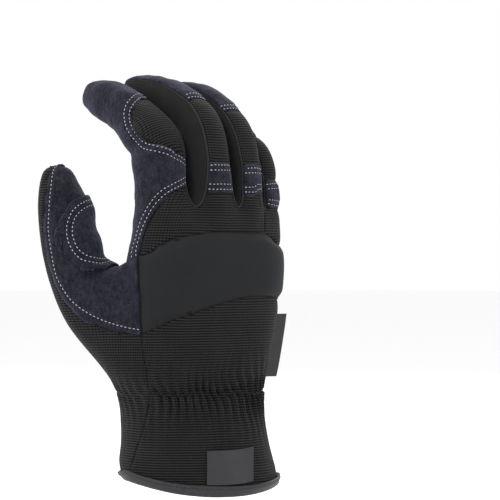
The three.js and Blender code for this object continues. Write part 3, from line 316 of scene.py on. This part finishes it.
seam_distance = distance_to(seam_points(panel_names), skin_at)
hem_distance = distance_to([skin_at[v.index] for v in skin.verts if v.is_boundary], skin_at)
outer_at = skin_at.copy()

# The patch on the thumb is shaped here, because the suede under it is darkened by painted shade along its
# edge.
patch_flat = inner_wall("thumb_patch")
ease_seams(patch_flat, passes=6)
patch_bm = rounded(patch_flat, levels=3, passes=12)
inner_tree = BVHTree.FromPolygons([Vector(p) for p in skin_at],
                                  [[v.index for v in face.verts] for face in skin.faces])
patch_rim = [v.co.copy() for v in patch_bm.verts if v.is_boundary]
patch_edge = [inner_tree.find_nearest(place)[0] for place in patch_rim]
# How far each point is from a seam or from the patch's edge, for the painted crease shade.
painted_shade_distance = np.minimum(seam_distance, distance_to(patch_edge, skin_at))

# The suede: palm, thumb, caps and knuckle strips, cut from brushed navy split leather. Its edges are
# turned over the knit and held by rows of stitches, which pull it down into shallow grooves.
# The last of these sizes is how far, in millimetres, the painted shade reaches in from the seams.
suede = {"wall": 1.4, "edge": 1.45, "rise": 1.85, "run": 1.0, "crease_shade": 0.8}
suede_names = [
    "palm_suede", "thumb_suede", "middle_strip", "ring_strip", "little_strip",
    "middle_tip_cap", "ring_tip_cap", "little_tip_cap",
]
stitch_rows = [
    {"on": "palm_suede", "beside": ["knuckle_knit"], "at": (2.2, 4.7)},
    {"on": "palm_suede", "beside": ["index_back_knit"], "at": (1.8, 4.4)},
    {"on": "thumb_suede", "beside": ["thumb_side_knit"], "at": (2.7,)},
]
for finger in ("middle", "ring", "little"):
    knuckle = "little_knuckle_knit" if finger == "little" else "knuckle_knit"
    stitch_rows += [
        {"on": finger + "_strip", "beside": [finger + "_back_knit"], "at": (2.2, 4.6)},
        {"on": finger + "_strip", "beside": [knuckle], "at": (2.2, 4.6)},
        {"on": finger + "_tip_cap", "beside": [finger + "_back_knit"], "at": (1.6, 3.8)},
    ]
groove_depth, groove_width = 0.32, 0.6 * MM
saddle_depth, saddle_width = 0.7, 0.7 * MM
fold_height, wrinkle_height, nap_height, calm_beside_seam = 0.8, 0.3, 0.1, 2.5 * MM
for row in stitch_rows:
    row["points"] = seam_points([row["on"]], row["beside"])


class Value:
    """A socket in a material's node tree. Sums and products of values add their Math nodes."""

    def __init__(self, tree, socket=None):
        self.tree = tree
        self.socket = socket

    def node(self, kind, settings=None, inputs=None, output=0):
        """A new node's output, after its settings and the values or links of its sockets are set."""
        made = self.tree.nodes.new(kind)
        for setting, value in (settings or {}).items():
            setattr(made, setting, value)
        for key, value in (inputs or {}).items():
            if isinstance(value, Value):
                self.tree.links.new(value.socket, made.inputs[key])
            else:
                made.inputs[key].default_value = value
        return Value(self.tree, made.outputs[output])

    def maths(self, operation, first, second=0.0):
        return self.node("ShaderNodeMath", {"operation": operation}, {0: first, 1: second})

    def __add__(self, other):
        return self.maths("ADD", self, other)

    def __radd__(self, other):
        return self.maths("ADD", other, self)

    def __sub__(self, other):
        return self.maths("SUBTRACT", self, other)

    def __rsub__(self, other):
        return self.maths("SUBTRACT", other, self)

    def __mul__(self, other):
        return self.maths("MULTIPLY", self, other)

    def __rmul__(self, other):
        return self.maths("MULTIPLY", other, self)

    def feeds(self, shader, name):
        self.tree.links.new(self.socket, shader.inputs[name])


def new_material(name, roughness, sheen=0.0, specular=0.2):
    """A new material, its shader, and a start for its nodes."""
    material = bpy.data.materials.new(name)
    material.use_nodes = True
    shader = material.node_tree.nodes["Principled BSDF"]
    shader.inputs["Roughness"].default_value = roughness
    shader.inputs["Sheen Weight"].default_value = sheen
    shader.inputs["Sheen Roughness"].default_value = 0.45
    shader.inputs["Specular IOR Level"].default_value = specular
    return material, shader, Value(material.node_tree)


def colour_mix(start, share, dark, light):
    """A colour between two, by a share that varies over the surface."""
    return start.node("ShaderNodeMix", {"data_type": "RGBA"},
                      {0: share, 6: (*dark, 1), 7: (*light, 1)}, output=2)


def speckle(start, scale, detail=2.0, stretch=(1, 1, 1)):
    """Soft noise on the object's coordinates, with the given number of waves in a metre."""
    place = start.node("ShaderNodeTexCoord", output=3)
    moved = start.node("ShaderNodeVectorMath", {"operation": "MULTIPLY"}, {0: place, 1: stretch})
    return start.node("ShaderNodeTexNoise", None,
                      {"Vector": moved, "Scale": scale, "Detail": detail, "Roughness": 0.55})


def bump(start, shader, height, depth):
    """Feeds a height, in shares of depth in metres, to the shader's normal."""
    relief = start.node("ShaderNodeBump", None, {"Strength": 1.0, "Distance": depth, "Height": height})
    relief.feeds(shader, "Normal")


def with_painted_crease_shade(start, crease_shade, cloth):
    """The cloth's colour, darkened by painted shade in the creases along its seams and the thumb patch's
    edge.
    """
    # The seam attribute runs from 0 at a seam, which is full painted shade, to 1 away from it.
    shade = start.node("ShaderNodeAttribute", {"attribute_name": "seam"}, output=2)
    return start.node("ShaderNodeMix", {"data_type": "RGBA"}, {0: shade, 6: (*crease_shade, 1), 7: cloth}, output=2)


def added(name, bm, material, node=None):
    """Adds a piece to the scene, in the place of one of the frame's nodes where one is named."""
    mesh = bpy.data.meshes.new(name)
    bm.to_mesh(mesh)
    mesh.materials.append(material)
    piece = bpy.data.objects.new(name, mesh)
    bpy.context.scene.collection.objects.link(piece)
    if node:
        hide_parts(node)
    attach(piece, "root")
    return piece


def walled(piece, thickness):
    """Gives a cloth its wall, in millimetres, on its inner side."""
    wall = piece.modifiers.new("wall", "SOLIDIFY")
    wall.thickness = thickness * MM
    wall.offset = -1


def places_of(name):
    """The numbers of the skin's points on a panel."""
    return np.array(sorted({v.index for face in faces_of[name] for v in face.verts}))


def cut_panel(name, cloth, heights, weave, material):
    """Cuts a panel from the skin, lifts it to the given heights in millimetres, paints shade along its seams
    and gives it a wall.
    """
    index = places_of(name)
    tape_height, bound_height = 5 * MM, 1.2
    free = ease((hem_distance[index] - tape_height) / tape_height)
    heights = bound_height + (heights - bound_height) * free
    lifted = skin_at[index] + skin_normal[index] * (heights * MM)[:, None]
    outer_at[index] = lifted
    across, along = weave
    bm = skin.copy()
    number = panel_names.index(name)
    uv = bm.loops.layers.uv.new("weave")
    painted_shade_layer = bm.verts.layers.float_color.new("seam")
    bm.verts.ensure_lookup_table()
    place_of = {}
    # Painted shade: near the seams and the thumb patch's edge, the seam attribute darkens the colour towards
    # the crease shade colour.
    shade = ease(painted_shade_distance[index] / (cloth["crease_shade"] * MM))
    for i, k in enumerate(index):
        vert = bm.verts[k]
        vert.co = lifted[i]
        vert[painted_shade_layer] = (shade[i], shade[i], shade[i], 1)
        place_of[vert] = i
    bmesh.ops.delete(bm, geom=[f for f in bm.faces if f.material_index != number], context="FACES")
    for face in bm.faces:
        face.material_index = 0
        face.smooth = True
        for loop in face.loops:
            i = place_of[loop.vert]
            loop[uv].uv = (across[i], along[i])
    walled(added(name + "_sewn", bm, material, node=name), cloth["wall"])


def height_of(cloth, inside):
    """How far a cloth stands off the skin in millimetres: low at its seams, full a little way inside."""
    return cloth["edge"] + (cloth["rise"] - cloth["edge"]) * ease(inside / (cloth["run"] * MM))


# The middle line of the hand, as height, across and back in millimetres. The wales of the knit stand
# on it, and places round the hand are measured at one radius.
hand_line = np.array([[0, 0, 0], [50, -5, 0], [60, -6.3, 0], [87, -1, 2], [115, 3.3, 4.3], [150, 6, 6]])
wale_radius = 40 * MM


def round_the_hand(places):
    """How far round the hand's middle line each place lies."""
    heights = places[:, 2] / MM
    x = places[:, 0] - np.interp(heights, hand_line[:, 0], hand_line[:, 1]) * MM
    y = places[:, 1] - np.interp(heights, hand_line[:, 0], hand_line[:, 2]) * MM
    return np.arctan2(x, -y) * wale_radius


def upright(places):
    """The weave of a cloth whose threads stand upright: how far round and how far up it lies."""
    return round_the_hand(places), places[:, 2]


def suede_heights(name):
    """How far a suede panel stands off the skin: turned edges, grooves, wrinkles and nap."""
    index = places_of(name)
    places = skin_at[index]
    inside = seam_distance[index]
    folds = soft_waves(places, scale=95, seed=0) * fold_height
    wrinkles = soft_waves(places, scale=210, seed=5) * wrinkle_height
    nap = soft_waves(places, scale=900, seed=9) * nap_height
    heights = height_of(suede, inside) + (folds + wrinkles + nap) * ease(inside / calm_beside_seam)
    for row in stitch_rows:
        if row["on"] == name and row["points"]:
            away = distance_to(row["points"], places)
            for at in row["at"]:
                heights = heights - groove_depth * np.exp(-((away - at * MM) / groove_width) ** 2)
    if name in ("palm_suede", "thumb_suede"):
        saddle = distance_to(seam_points(["palm_suede"], ["thumb_suede"]), places)
        heights = heights - saddle_depth * np.exp(-(saddle / saddle_width) ** 2)
    return heights


suede_material, shader, start = new_material("navy suede", roughness=0.95, sheen=0.2, specular=0.08)
shader.inputs["Sheen Tint"].default_value = (0.6, 0.63, 0.85, 1)
brushed = speckle(start, scale=150, detail=3)
streaks = speckle(start, scale=560, detail=3, stretch=(1, 1, 0.55))
fuzz = speckle(start, scale=2300)
share = brushed * 0.8 + streaks * 1.0 + fuzz * 2.0 - 1.6
nap_colour = colour_mix(start, share, dark=(0.0045, 0.0043, 0.0072), light=(0.034, 0.0335, 0.05))
# The suede's colour, with painted shade in the creases along its seams and the patch's edge.
with_painted_crease_shade(start, (0.003, 0.003, 0.004), nap_colour).feeds(shader, "Base Color")
bump(start, shader, streaks * 0.9 + fuzz * 0.5 + brushed * 0.8, depth=0.7 * MM)

for name in suede_names:
    weave = upright(skin_at[places_of(name)])
    cut_panel(name, suede, suede_heights(name), weave, suede_material)

# The knit: stretchy black rib over the wrist, the knuckles, the fingers' backs and the thumb's outer
# side. It is cut across its ribs and hemmed down at each seam. At the wrist a hidden elastic line
# gathers it into puckers.
# The last of these sizes is how far, in millimetres, the painted shade reaches in from the seams.
knit = {"wall": 1.1, "edge": 0.75, "rise": 1.3, "run": 1.0, "crease_shade": 0.7}
knit_names = [
    "thumb_side_knit", "wrist_back_knit", "knuckle_knit", "little_knuckle_knit",
    "index_back_knit", "middle_back_knit", "ring_back_knit", "little_back_knit",
]
gather_height, pucker_pitch, pucker_depth, pinch_depth = 49 * MM, 5.6 * MM, 2.1, 0.5
reach_above, reach_below, pinch_reach, gather_thumb_share = 6.5, 9.0, 2.4, 0.35
line_sway, line_pitch = 0.9 * MM, 5 * MM


def puckers(places):
    """The gathers of the elastic line, in millimetres: a pinched line with lobes on both sides."""
    drift_share, lean, lean_reach, sharpness, bare_line = 0.5, 0.25, 2, 1.4, 1.5
    around = round_the_hand(places)
    line = gather_height + line_sway * np.sin(around / line_pitch)
    rise = (places[:, 2] - line) / MM
    drift = soft_waves(places, scale=60, seed=3) * drift_share
    phase = around / pucker_pitch + lean * np.tanh(rise / lean_reach) + drift
    lobes = 1 - 2 * np.abs(np.sin(math.pi * phase)) ** sharpness
    reach = np.where(rise > 0, reach_above, reach_below)
    pinch = pinch_depth * np.exp(-(rise / pinch_reach) ** 2)
    return pucker_depth * lobes * np.exp(-np.abs(rise) / reach) * ease(np.abs(rise) / bare_line) - pinch


def knit_heights(name):
    """How far a knit panel stands off the skin, with its gathers and its soft folds."""
    gathers_from, folds_from, fold_height = 4 * MM, 3 * MM, 0.22
    index = places_of(name)
    inside = seam_distance[index]
    heights = height_of(knit, inside)
    if name == "wrist_back_knit":
        heights = heights + puckers(skin_at[index]) * ease(inside / gathers_from)
    if name == "thumb_side_knit":
        heights = heights + gather_thumb_share * puckers(skin_at[index]) * ease(inside / gathers_from)
    folds = soft_waves(skin_at[index], scale=75, seed=2) * fold_height
    return heights + folds * ease(inside / folds_from)


def knit_weave(name):
    """Where the knit lies on a panel: how far along its ribs, and how far up across them.

    The oval's ribs run aslant, and those on the other fingers lie level with the fingers' strips.
    """
    places = skin_at[places_of(name)]
    fingers_turn = math.radians(50)
    side = np.array((math.cos(fingers_turn), math.sin(fingers_turn), 0))
    if name == "index_back_knit":
        lean, turn = math.radians(40), math.radians(46)
        heading = np.array((-math.sin(lean) * math.sin(turn), math.sin(lean) * math.cos(turn),
                            math.cos(lean)))
        return places @ side, places @ heading
    if name in ("middle_back_knit", "ring_back_knit", "little_back_knit"):
        foot = seam_points([name], [name.replace("_back_knit", "_strip")])
        return places @ side, distance_to(foot, places)
    return upright(places)


def weave_of(start):
    """The weave's coordinates in metres, round the piece and along it."""
    place = start.node("ShaderNodeUVMap", {"uv_map": "weave"})
    across = start.node("ShaderNodeSeparateXYZ", None, {0: place}, output=0)
    along = start.node("ShaderNodeSeparateXYZ", None, {0: place}, output=1)
    return across, along


def wave(start, coordinate, pitch):
    """A smooth wave from 0 to 1 along a coordinate."""
    return start.maths("SINE", coordinate * (2 * math.pi / pitch)) * 0.5 + 0.5


rib_pitch, wale_pitch, rib_drift, wale_drift = 1.36 * MM, 1.1 * MM, 0.6 * MM, 0.4 * MM
knit_material, shader, start = new_material("black knit", roughness=0.9, sheen=0.06, specular=0.12)
across, along = weave_of(start)
drift = speckle(start, scale=70)
ribs = wave(start, along + drift * rib_drift, rib_pitch)
wales = wave(start, across + drift * wale_drift, wale_pitch)
threads = speckle(start, scale=2600, detail=1)
# The ribs' raised tops are painted lighter and the hollows between them darker: painted light and shade over
# the yarn's random tone.
loops = ribs * (0.4 + wales * 0.6)
share = loops * 1.7 + threads * 0.8 + drift * 0.6 - 0.95
knit_tone_and_rib_shade = colour_mix(start, share, dark=(0.0022, 0.0022, 0.0024), light=(0.024, 0.024, 0.0228))
# The knit's colour, with painted shade in the creases along its seams.
with_painted_crease_shade(start, (0.002, 0.002, 0.002), knit_tone_and_rib_shade).feeds(shader, "Base Color")
bump(start, shader, loops * 0.85 + threads * 0.3, depth=0.45 * MM)

for name in knit_names:
    cut_panel(name, knit, knit_heights(name), knit_weave(name), knit_material)

# The pad across the back of the hand: slate neoprene faced with a fine smooth jersey. It is thicker
# than the knit, so that it swells a little between its seams.
# The last of these sizes is how far, in millimetres, the painted shade reaches in from the seams.
pad = {"wall": 1.8, "edge": 0.95, "rise": 2.7, "run": 6.5, "crease_shade": 0.9}
pad_lead, jersey_pitch, pad_folds_from, pad_fold_height = 0.8 * MM, 0.62 * MM, 4 * MM, 0.2
neoprene_material, shader, start = new_material("slate neoprene", roughness=0.75, sheen=0.04, specular=0.16)
across, along = weave_of(start)
jersey = wave(start, along, jersey_pitch) * 0.5 + wave(start, across, jersey_pitch) * 0.5
mottle = speckle(start, scale=900)
drift = speckle(start, scale=45)
share = mottle * 0.5 + drift * 0.5 + jersey * 0.12 - 0.1
jersey_colour = colour_mix(start, share, dark=(0.0062, 0.0066, 0.0076), light=(0.0132, 0.0142, 0.016))
# The jersey's colour, with painted shade in the creases along its seams.
with_painted_crease_shade(start, (0.002, 0.002, 0.002), jersey_colour).feeds(shader, "Base Color")
bump(start, shader, jersey * 0.5 + mottle * 0.5, depth=0.07 * MM)

index = places_of("neoprene_band")
places, inside = skin_at[index], seam_distance[index]
folds = soft_waves(places, scale=60, seed=4) * pad_fold_height
heights = height_of(pad, inside + pad_lead) + folds * ease(inside / pad_folds_from)
cut_panel("neoprene_band", pad, heights, upright(places), neoprene_material)

# The side strips between the fingers: smooth black cloth, one long piece that runs up one finger,
# round the crotch and up the next.
# The last of these sizes is how far, in millimetres, the painted shade reaches in from the seams.
side_cloth = {"wall": 1.1, "edge": 0.8, "rise": 1.35, "run": 1.2, "crease_shade": 0.7}
weft_pitch, warp_pitch, strip_folds_from, strip_fold_height = 0.7 * MM, 0.6 * MM, 3 * MM, 0.3
side_material, shader, start = new_material("smooth black cloth", roughness=0.75, sheen=0.05, specular=0.15)
across, along = weave_of(start)
fine = wave(start, along, weft_pitch) * 0.5 + wave(start, across, warp_pitch) * 0.5
share = fine * 0.35 + speckle(start, scale=140) * 0.7 - 0.15
side_colour = colour_mix(start, share, dark=(0.0035, 0.0035, 0.004), light=(0.0105, 0.0105, 0.0115))
# The side cloth's colour, with painted shade in the creases along its seams.
with_painted_crease_shade(start, (0.0015, 0.0015, 0.0015), side_colour).feeds(shader, "Base Color")
bump(start, shader, fine, depth=0.08 * MM)
for name in side_names:
    index = places_of(name)
    places, inside = skin_at[index], seam_distance[index]
    folds = soft_waves(places, scale=90, seed=6) * strip_fold_height
    heights = height_of(side_cloth, inside) + folds * ease(inside / strip_folds_from)
    cut_panel(name, side_cloth, heights, upright(places), side_material)

# The second layer of suede round the crotch of the thumb. It lies on the thumb's suede and is sewn
# down inside its rounded edge by two rows.
patch_wall, patch_rows = 1.6, (3.0, 5.6)
patch_foot, patch_rise, patch_turn = 1.2, 0.5, 0.9 * MM
patch_fold_height, patch_folds_from, seat_above = 0.25, 3 * MM, 3
skin_tree = BVHTree.FromPolygons([Vector(p) for p in outer_at],
                                 [[v.index for v in face.verts] for face in skin.faces])
patch_inside = distance_to(patch_rim, [v.co for v in patch_bm.verts])
patch_folds = soft_waves([v.co for v in patch_bm.verts], scale=110, seed=7) * patch_fold_height
painted_shade_layer = patch_bm.verts.layers.float_color.new("seam")
for vert, inside, fold in zip(patch_bm.verts, patch_inside, patch_folds):
    seat, facing, _, _ = skin_tree.find_nearest(vert.co + vert.normal * seat_above * MM)
    lift = patch_foot + patch_rise * math.sqrt(min(1, inside / patch_turn))
    lift += fold * min(1, inside / patch_folds_from)
    for at in patch_rows:
        lift -= groove_depth * math.exp(-((inside - at * MM) / groove_width) ** 2)
    vert.co = seat + facing * lift * MM
    # The patch carries no painted shade of its own.
    vert[painted_shade_layer] = (1, 1, 1, 1)
patch_bm.normal_update()
for face in patch_bm.faces:
    face.smooth = True
    face.material_index = 0
walled(added("thumb_patch_sewn", patch_bm, suede_material, node="thumb_patch"), patch_wall)

# The stitches: short dashes of pale grey thread in rows beside the seams. Each one is a small lens
# that lies along its row.
stitch_pitch, stitch_length, stitch_width = 2.3 * MM, 1.35 * MM, 0.46 * MM
stitch_depth, stitch_lift = stitch_width / 1.2, 0.12


def join(links, a, b):
    """Notes in links that two keys are neighbours."""
    links.setdefault(a, set()).add(b)
    links.setdefault(b, set()).add(a)


def chains(links):
    """Joins neighbouring keys into lines. A closed line ends with the key that it starts with."""
    left = {key: set(near) for key, near in links.items()}
    ends = [key for key in links if len(links[key]) != 2]
    lines = []
    for start in ends + list(links):
        while left[start]:
            line = [start]
            while left[line[-1]]:
                here = line[-1]
                there = min(left[here])
                left[here].discard(there)
                left[there].discard(here)
                line.append(there)
                if len(links[there]) != 2:
                    break
            lines.append(line)
    return lines


def level_lines(faces, value_of, level, place_of):
    """The lines on some faces where a value of their points passes a level."""
    places, links = {}, {}
    for face in faces:
        crossings = []
        for edge in face.edges:
            a, b = sorted(v.index for v in edge.verts)
            over_a, over_b = value_of[a] - level, value_of[b] - level
            if over_a * over_b < 0:
                places[a, b] = place_of[a] + (place_of[b] - place_of[a]) * (over_a / (over_a - over_b))
                crossings.append((a, b))
        if len(crossings) == 2:
            join(links, *crossings)
    return [np.array([places[key] for key in line]) for line in chains(links)]


def stitched(bm, line, tree):
    """Adds stitches to a bmesh along a line of places on the surface."""
    steps = np.linalg.norm(np.diff(line, axis=0), axis=1)
    walked = np.concatenate(([0], np.cumsum(steps)))
    margin, shortest = 0.8 * MM, 7 * MM
    if walked[-1] < shortest:
        return
    count = int((walked[-1] - 2 * margin) / stitch_pitch)
    for k in range(count):
        middle = margin + (k + 0.5) * stitch_pitch
        a, b = (np.array([np.interp(at, walked, line[:, i]) for i in range(3)])
                for at in (middle - stitch_length / 2, middle + stitch_length / 2))
        seat, facing, _, _ = tree.find_nearest(Vector((a + b) / 2))
        run = Vector(b - a).normalized()
        side = facing.cross(run).normalized()
        turn = Matrix((run, side, run.cross(side))).transposed().to_4x4()
        size = Matrix.Diagonal((stitch_length / 2, stitch_width / 2, stitch_depth / 2, 1))
        at = Matrix.Translation(seat + facing * stitch_lift * MM)
        bmesh.ops.create_uvsphere(bm, u_segments=6, v_segments=4, radius=1, matrix=at @ turn @ size)


stitch_bm = bmesh.new()
for row in stitch_rows:
    if not row["points"]:
        continue
    index = places_of(row["on"])
    away = dict(zip(index.tolist(), distance_to(row["points"], skin_at[index])))
    for at in row["at"]:
        for line in level_lines(faces_of[row["on"]], away, at * MM, outer_at):
            stitched(stitch_bm, line, skin_tree)
patch_bm.verts.index_update()
patch_at = [np.array(v.co) for v in patch_bm.verts]
patch_tree = BVHTree.FromBMesh(patch_bm)
for at in patch_rows:
    for line in level_lines(patch_bm.faces, patch_inside, at * MM, patch_at):
        stitched(stitch_bm, line, patch_tree)
for face in stitch_bm.faces:
    face.smooth = True
thread_material, shader, start = new_material("pale thread", roughness=0.6, sheen=0.1)
twist = speckle(start, scale=3000, detail=1)
thread_colour = colour_mix(start, twist, dark=(0.22, 0.22, 0.25), light=(0.62, 0.62, 0.66))
thread_colour.feeds(shader, "Base Color")
added("stitches", stitch_bm, thread_material)

# The seams: where a finger's back meets its side strip, both are sewn inside out and turned, and the
# fold stands up as a thin round ridge. The other seams show a thin dark cord of thread in their crease.
ridge = {"name": "seam_ridges", "height": 1.05, "dark": 0.006, "light": 0.024, "links": {}}
cord = {"name": "seam_threads", "height": 0.55, "dark": 0.0015, "light": 0.006, "links": {}}
seam_radius, fewest_points, easings = 0.5, 8, 6
for edge in skin.edges:
    labels = {face.material_index for face in edge.link_faces}
    if len(labels) == 2:
        kind = ridge if labels & side_numbers else cord
        join(kind["links"], *(v.index for v in edge.verts))
for kind in (ridge, cord):
    curve = bpy.data.curves.new(kind["name"], "CURVE")
    curve.dimensions = "3D"
    curve.bevel_depth = seam_radius * MM
    curve.bevel_resolution = 1
    curve.use_fill_caps = True
    for line in chains(kind["links"]):
        if len(line) < fewest_points:
            continue
        places = skin_at[line] + skin_normal[line] * kind["height"] * MM
        for _ in range(easings):
            places[1:-1] = (places[:-2] + 2 * places[1:-1] + places[2:]) / 4
        spline = curve.splines.new("POLY")
        spline.points.add(len(places) - 1)
        for point, place in zip(spline.points, places):
            point.co = (*place, 1)
    shape = bpy.data.objects.new(kind["name"], curve)
    bpy.context.scene.collection.objects.link(shape)
    mesh = bpy.data.meshes.new_from_object(shape.evaluated_get(bpy.context.evaluated_depsgraph_get()))
    bpy.data.objects.remove(shape)
    seam_bm = bmesh.new()
    seam_bm.from_mesh(mesh)
    for face in seam_bm.faces:
        face.smooth = True
        face.material_index = 0
    material, shader, start = new_material(kind["name"], roughness=0.8, sheen=0.1)
    twist = speckle(start, scale=1400)
    seam_colour = colour_mix(start, twist, dark=(kind["dark"],) * 3, light=(kind["light"],) * 3)
    seam_colour.feeds(shader, "Base Color")
    bump(start, shader, twist, depth=0.1 * MM)
    added(kind["name"], seam_bm, material)

# The binding: grosgrain tape folded over the raw edge of the cuff and sewn through by a dark row. Its
# profile is given in millimetres, outwards and upwards from the hem.
tape_profile = [(-1.2, 4.5), (-1.4, 4.0), (-1.45, 0.2), (-1.0, -0.9), (0.6, -1.35), (2.2, -0.9),
                (2.65, 0.2), (2.6, 4.2), (2.35, 4.8), (1.45, 4.9), (1.4, 0.4), (-0.05, 0.4), (-0.1, 4.5)]
hem_links = {}
for edge in skin.edges:
    if edge.is_boundary:
        join(hem_links, *(v.index for v in edge.verts))
hem = max(chains(hem_links), key=len)[:-1]
hem_easings = 30

# At each point of the hem the tape's profile is laid out along the skin's normal and upright to it.
hem_at = skin_at[hem]
hem_out = skin_normal[hem]
for _ in range(hem_easings):
    hem_at = (np.roll(hem_at, 1, axis=0) + 2 * hem_at + np.roll(hem_at, -1, axis=0)) / 4
    hem_out = (np.roll(hem_out, 1, axis=0) + 2 * hem_out + np.roll(hem_out, -1, axis=0)) / 4
hem_out /= np.linalg.norm(hem_out, axis=1)[:, None]
hem_up = np.cross(np.roll(hem_at, -1, axis=0) - np.roll(hem_at, 1, axis=0), hem_out)
hem_up *= (np.sign(hem_up[:, 2]) / np.linalg.norm(hem_up, axis=1))[:, None]
tape_bm = bmesh.new()
ring = [tape_bm.verts.new(hem_at[0]) for _ in tape_profile]
edges = [tape_bm.edges.new((ring[i - 1], ring[i])) for i in range(len(ring))]
for station in range(len(hem) + 1):
    k = station % len(hem)
    if station:
        grown = bmesh.ops.extrude_edge_only(tape_bm, edges=edges)["geom"]
        edges = [part for part in grown if isinstance(part, bmesh.types.BMEdge)]
        fresh = {part for part in grown if isinstance(part, bmesh.types.BMVert)}
        ring = [next(e.other_vert(v) for e in v.link_edges if e.other_vert(v) in fresh) for v in ring]
    for vert, (out, up) in zip(ring, tape_profile):
        vert.co = Vector(hem_at[k] + (hem_out[k] * out + hem_up[k] * up) * MM)
bmesh.ops.remove_doubles(tape_bm, verts=tape_bm.verts, dist=merged)
bmesh.ops.recalc_face_normals(tape_bm, faces=tape_bm.faces)
for face in tape_bm.faces:
    face.smooth = True
tape_material, shader, start = new_material("hem tape", roughness=0.55, sheen=0.05, specular=0.35)
grain = speckle(start, scale=1500, stretch=(0.25, 0.25, 1))
tape_colour = colour_mix(start, grain * 1.4 - 0.2, dark=(0.006, 0.0064, 0.008), light=(0.024, 0.0252, 0.03))
tape_colour.feeds(shader, "Base Color")
bump(start, shader, grain, depth=0.15 * MM)
added("cuff_binding_sewn", tape_bm, tape_material, node="cuff_binding")

tape_tree = BVHTree.FromBMesh(tape_bm)
row_out, row_up = 2.62, 3.5
row_line = hem_at + (hem_out * row_out + hem_up * row_up) * MM
row_bm = bmesh.new()
stitched(row_bm, np.vstack((row_line, row_line[:1])), tape_tree)
row_material, shader, start = new_material("dark thread", roughness=0.5, specular=0.3)
twist = speckle(start, scale=3000, detail=1)
row_colour = colour_mix(start, twist, dark=(0.002, 0.002, 0.002), light=(0.008, 0.008, 0.009))
row_colour.feeds(shader, "Base Color")
added("binding_stitches", row_bm, row_material)

# The woven label on the back of the cuff and the folded tag in the side seam, both bare: satin
# ribbon, folded at the ends and sewn in.
fold_angle = math.radians(40)
woven_material, shader, start = new_material("woven label", roughness=0.45, sheen=0.05, specular=0.4)
satin = speckle(start, scale=2200, detail=1, stretch=(0.15, 0.15, 1))
share = satin * 0.8 + speckle(start, scale=150, detail=1) * 0.5 - 0.2
ribbon_colour = colour_mix(start, share, dark=(0.006, 0.006, 0.0075), light=(0.018, 0.018, 0.022))
ribbon_colour.feeds(shader, "Base Color")
bump(start, shader, satin, depth=0.1 * MM)
for name in ("cuff_label", "side_tag"):
    ribbon_bm = bmesh.new()
    ribbon_bm.from_mesh(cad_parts[name].data)
    bmesh.ops.remove_doubles(ribbon_bm, verts=ribbon_bm.verts, dist=merged)
    for face in ribbon_bm.faces:
        face.smooth = True
        face.material_index = 0
    ribbon = added(name + "_woven", ribbon_bm, woven_material, node=name)
    ribbon.data.set_sharp_from_angle(angle=fold_angle)
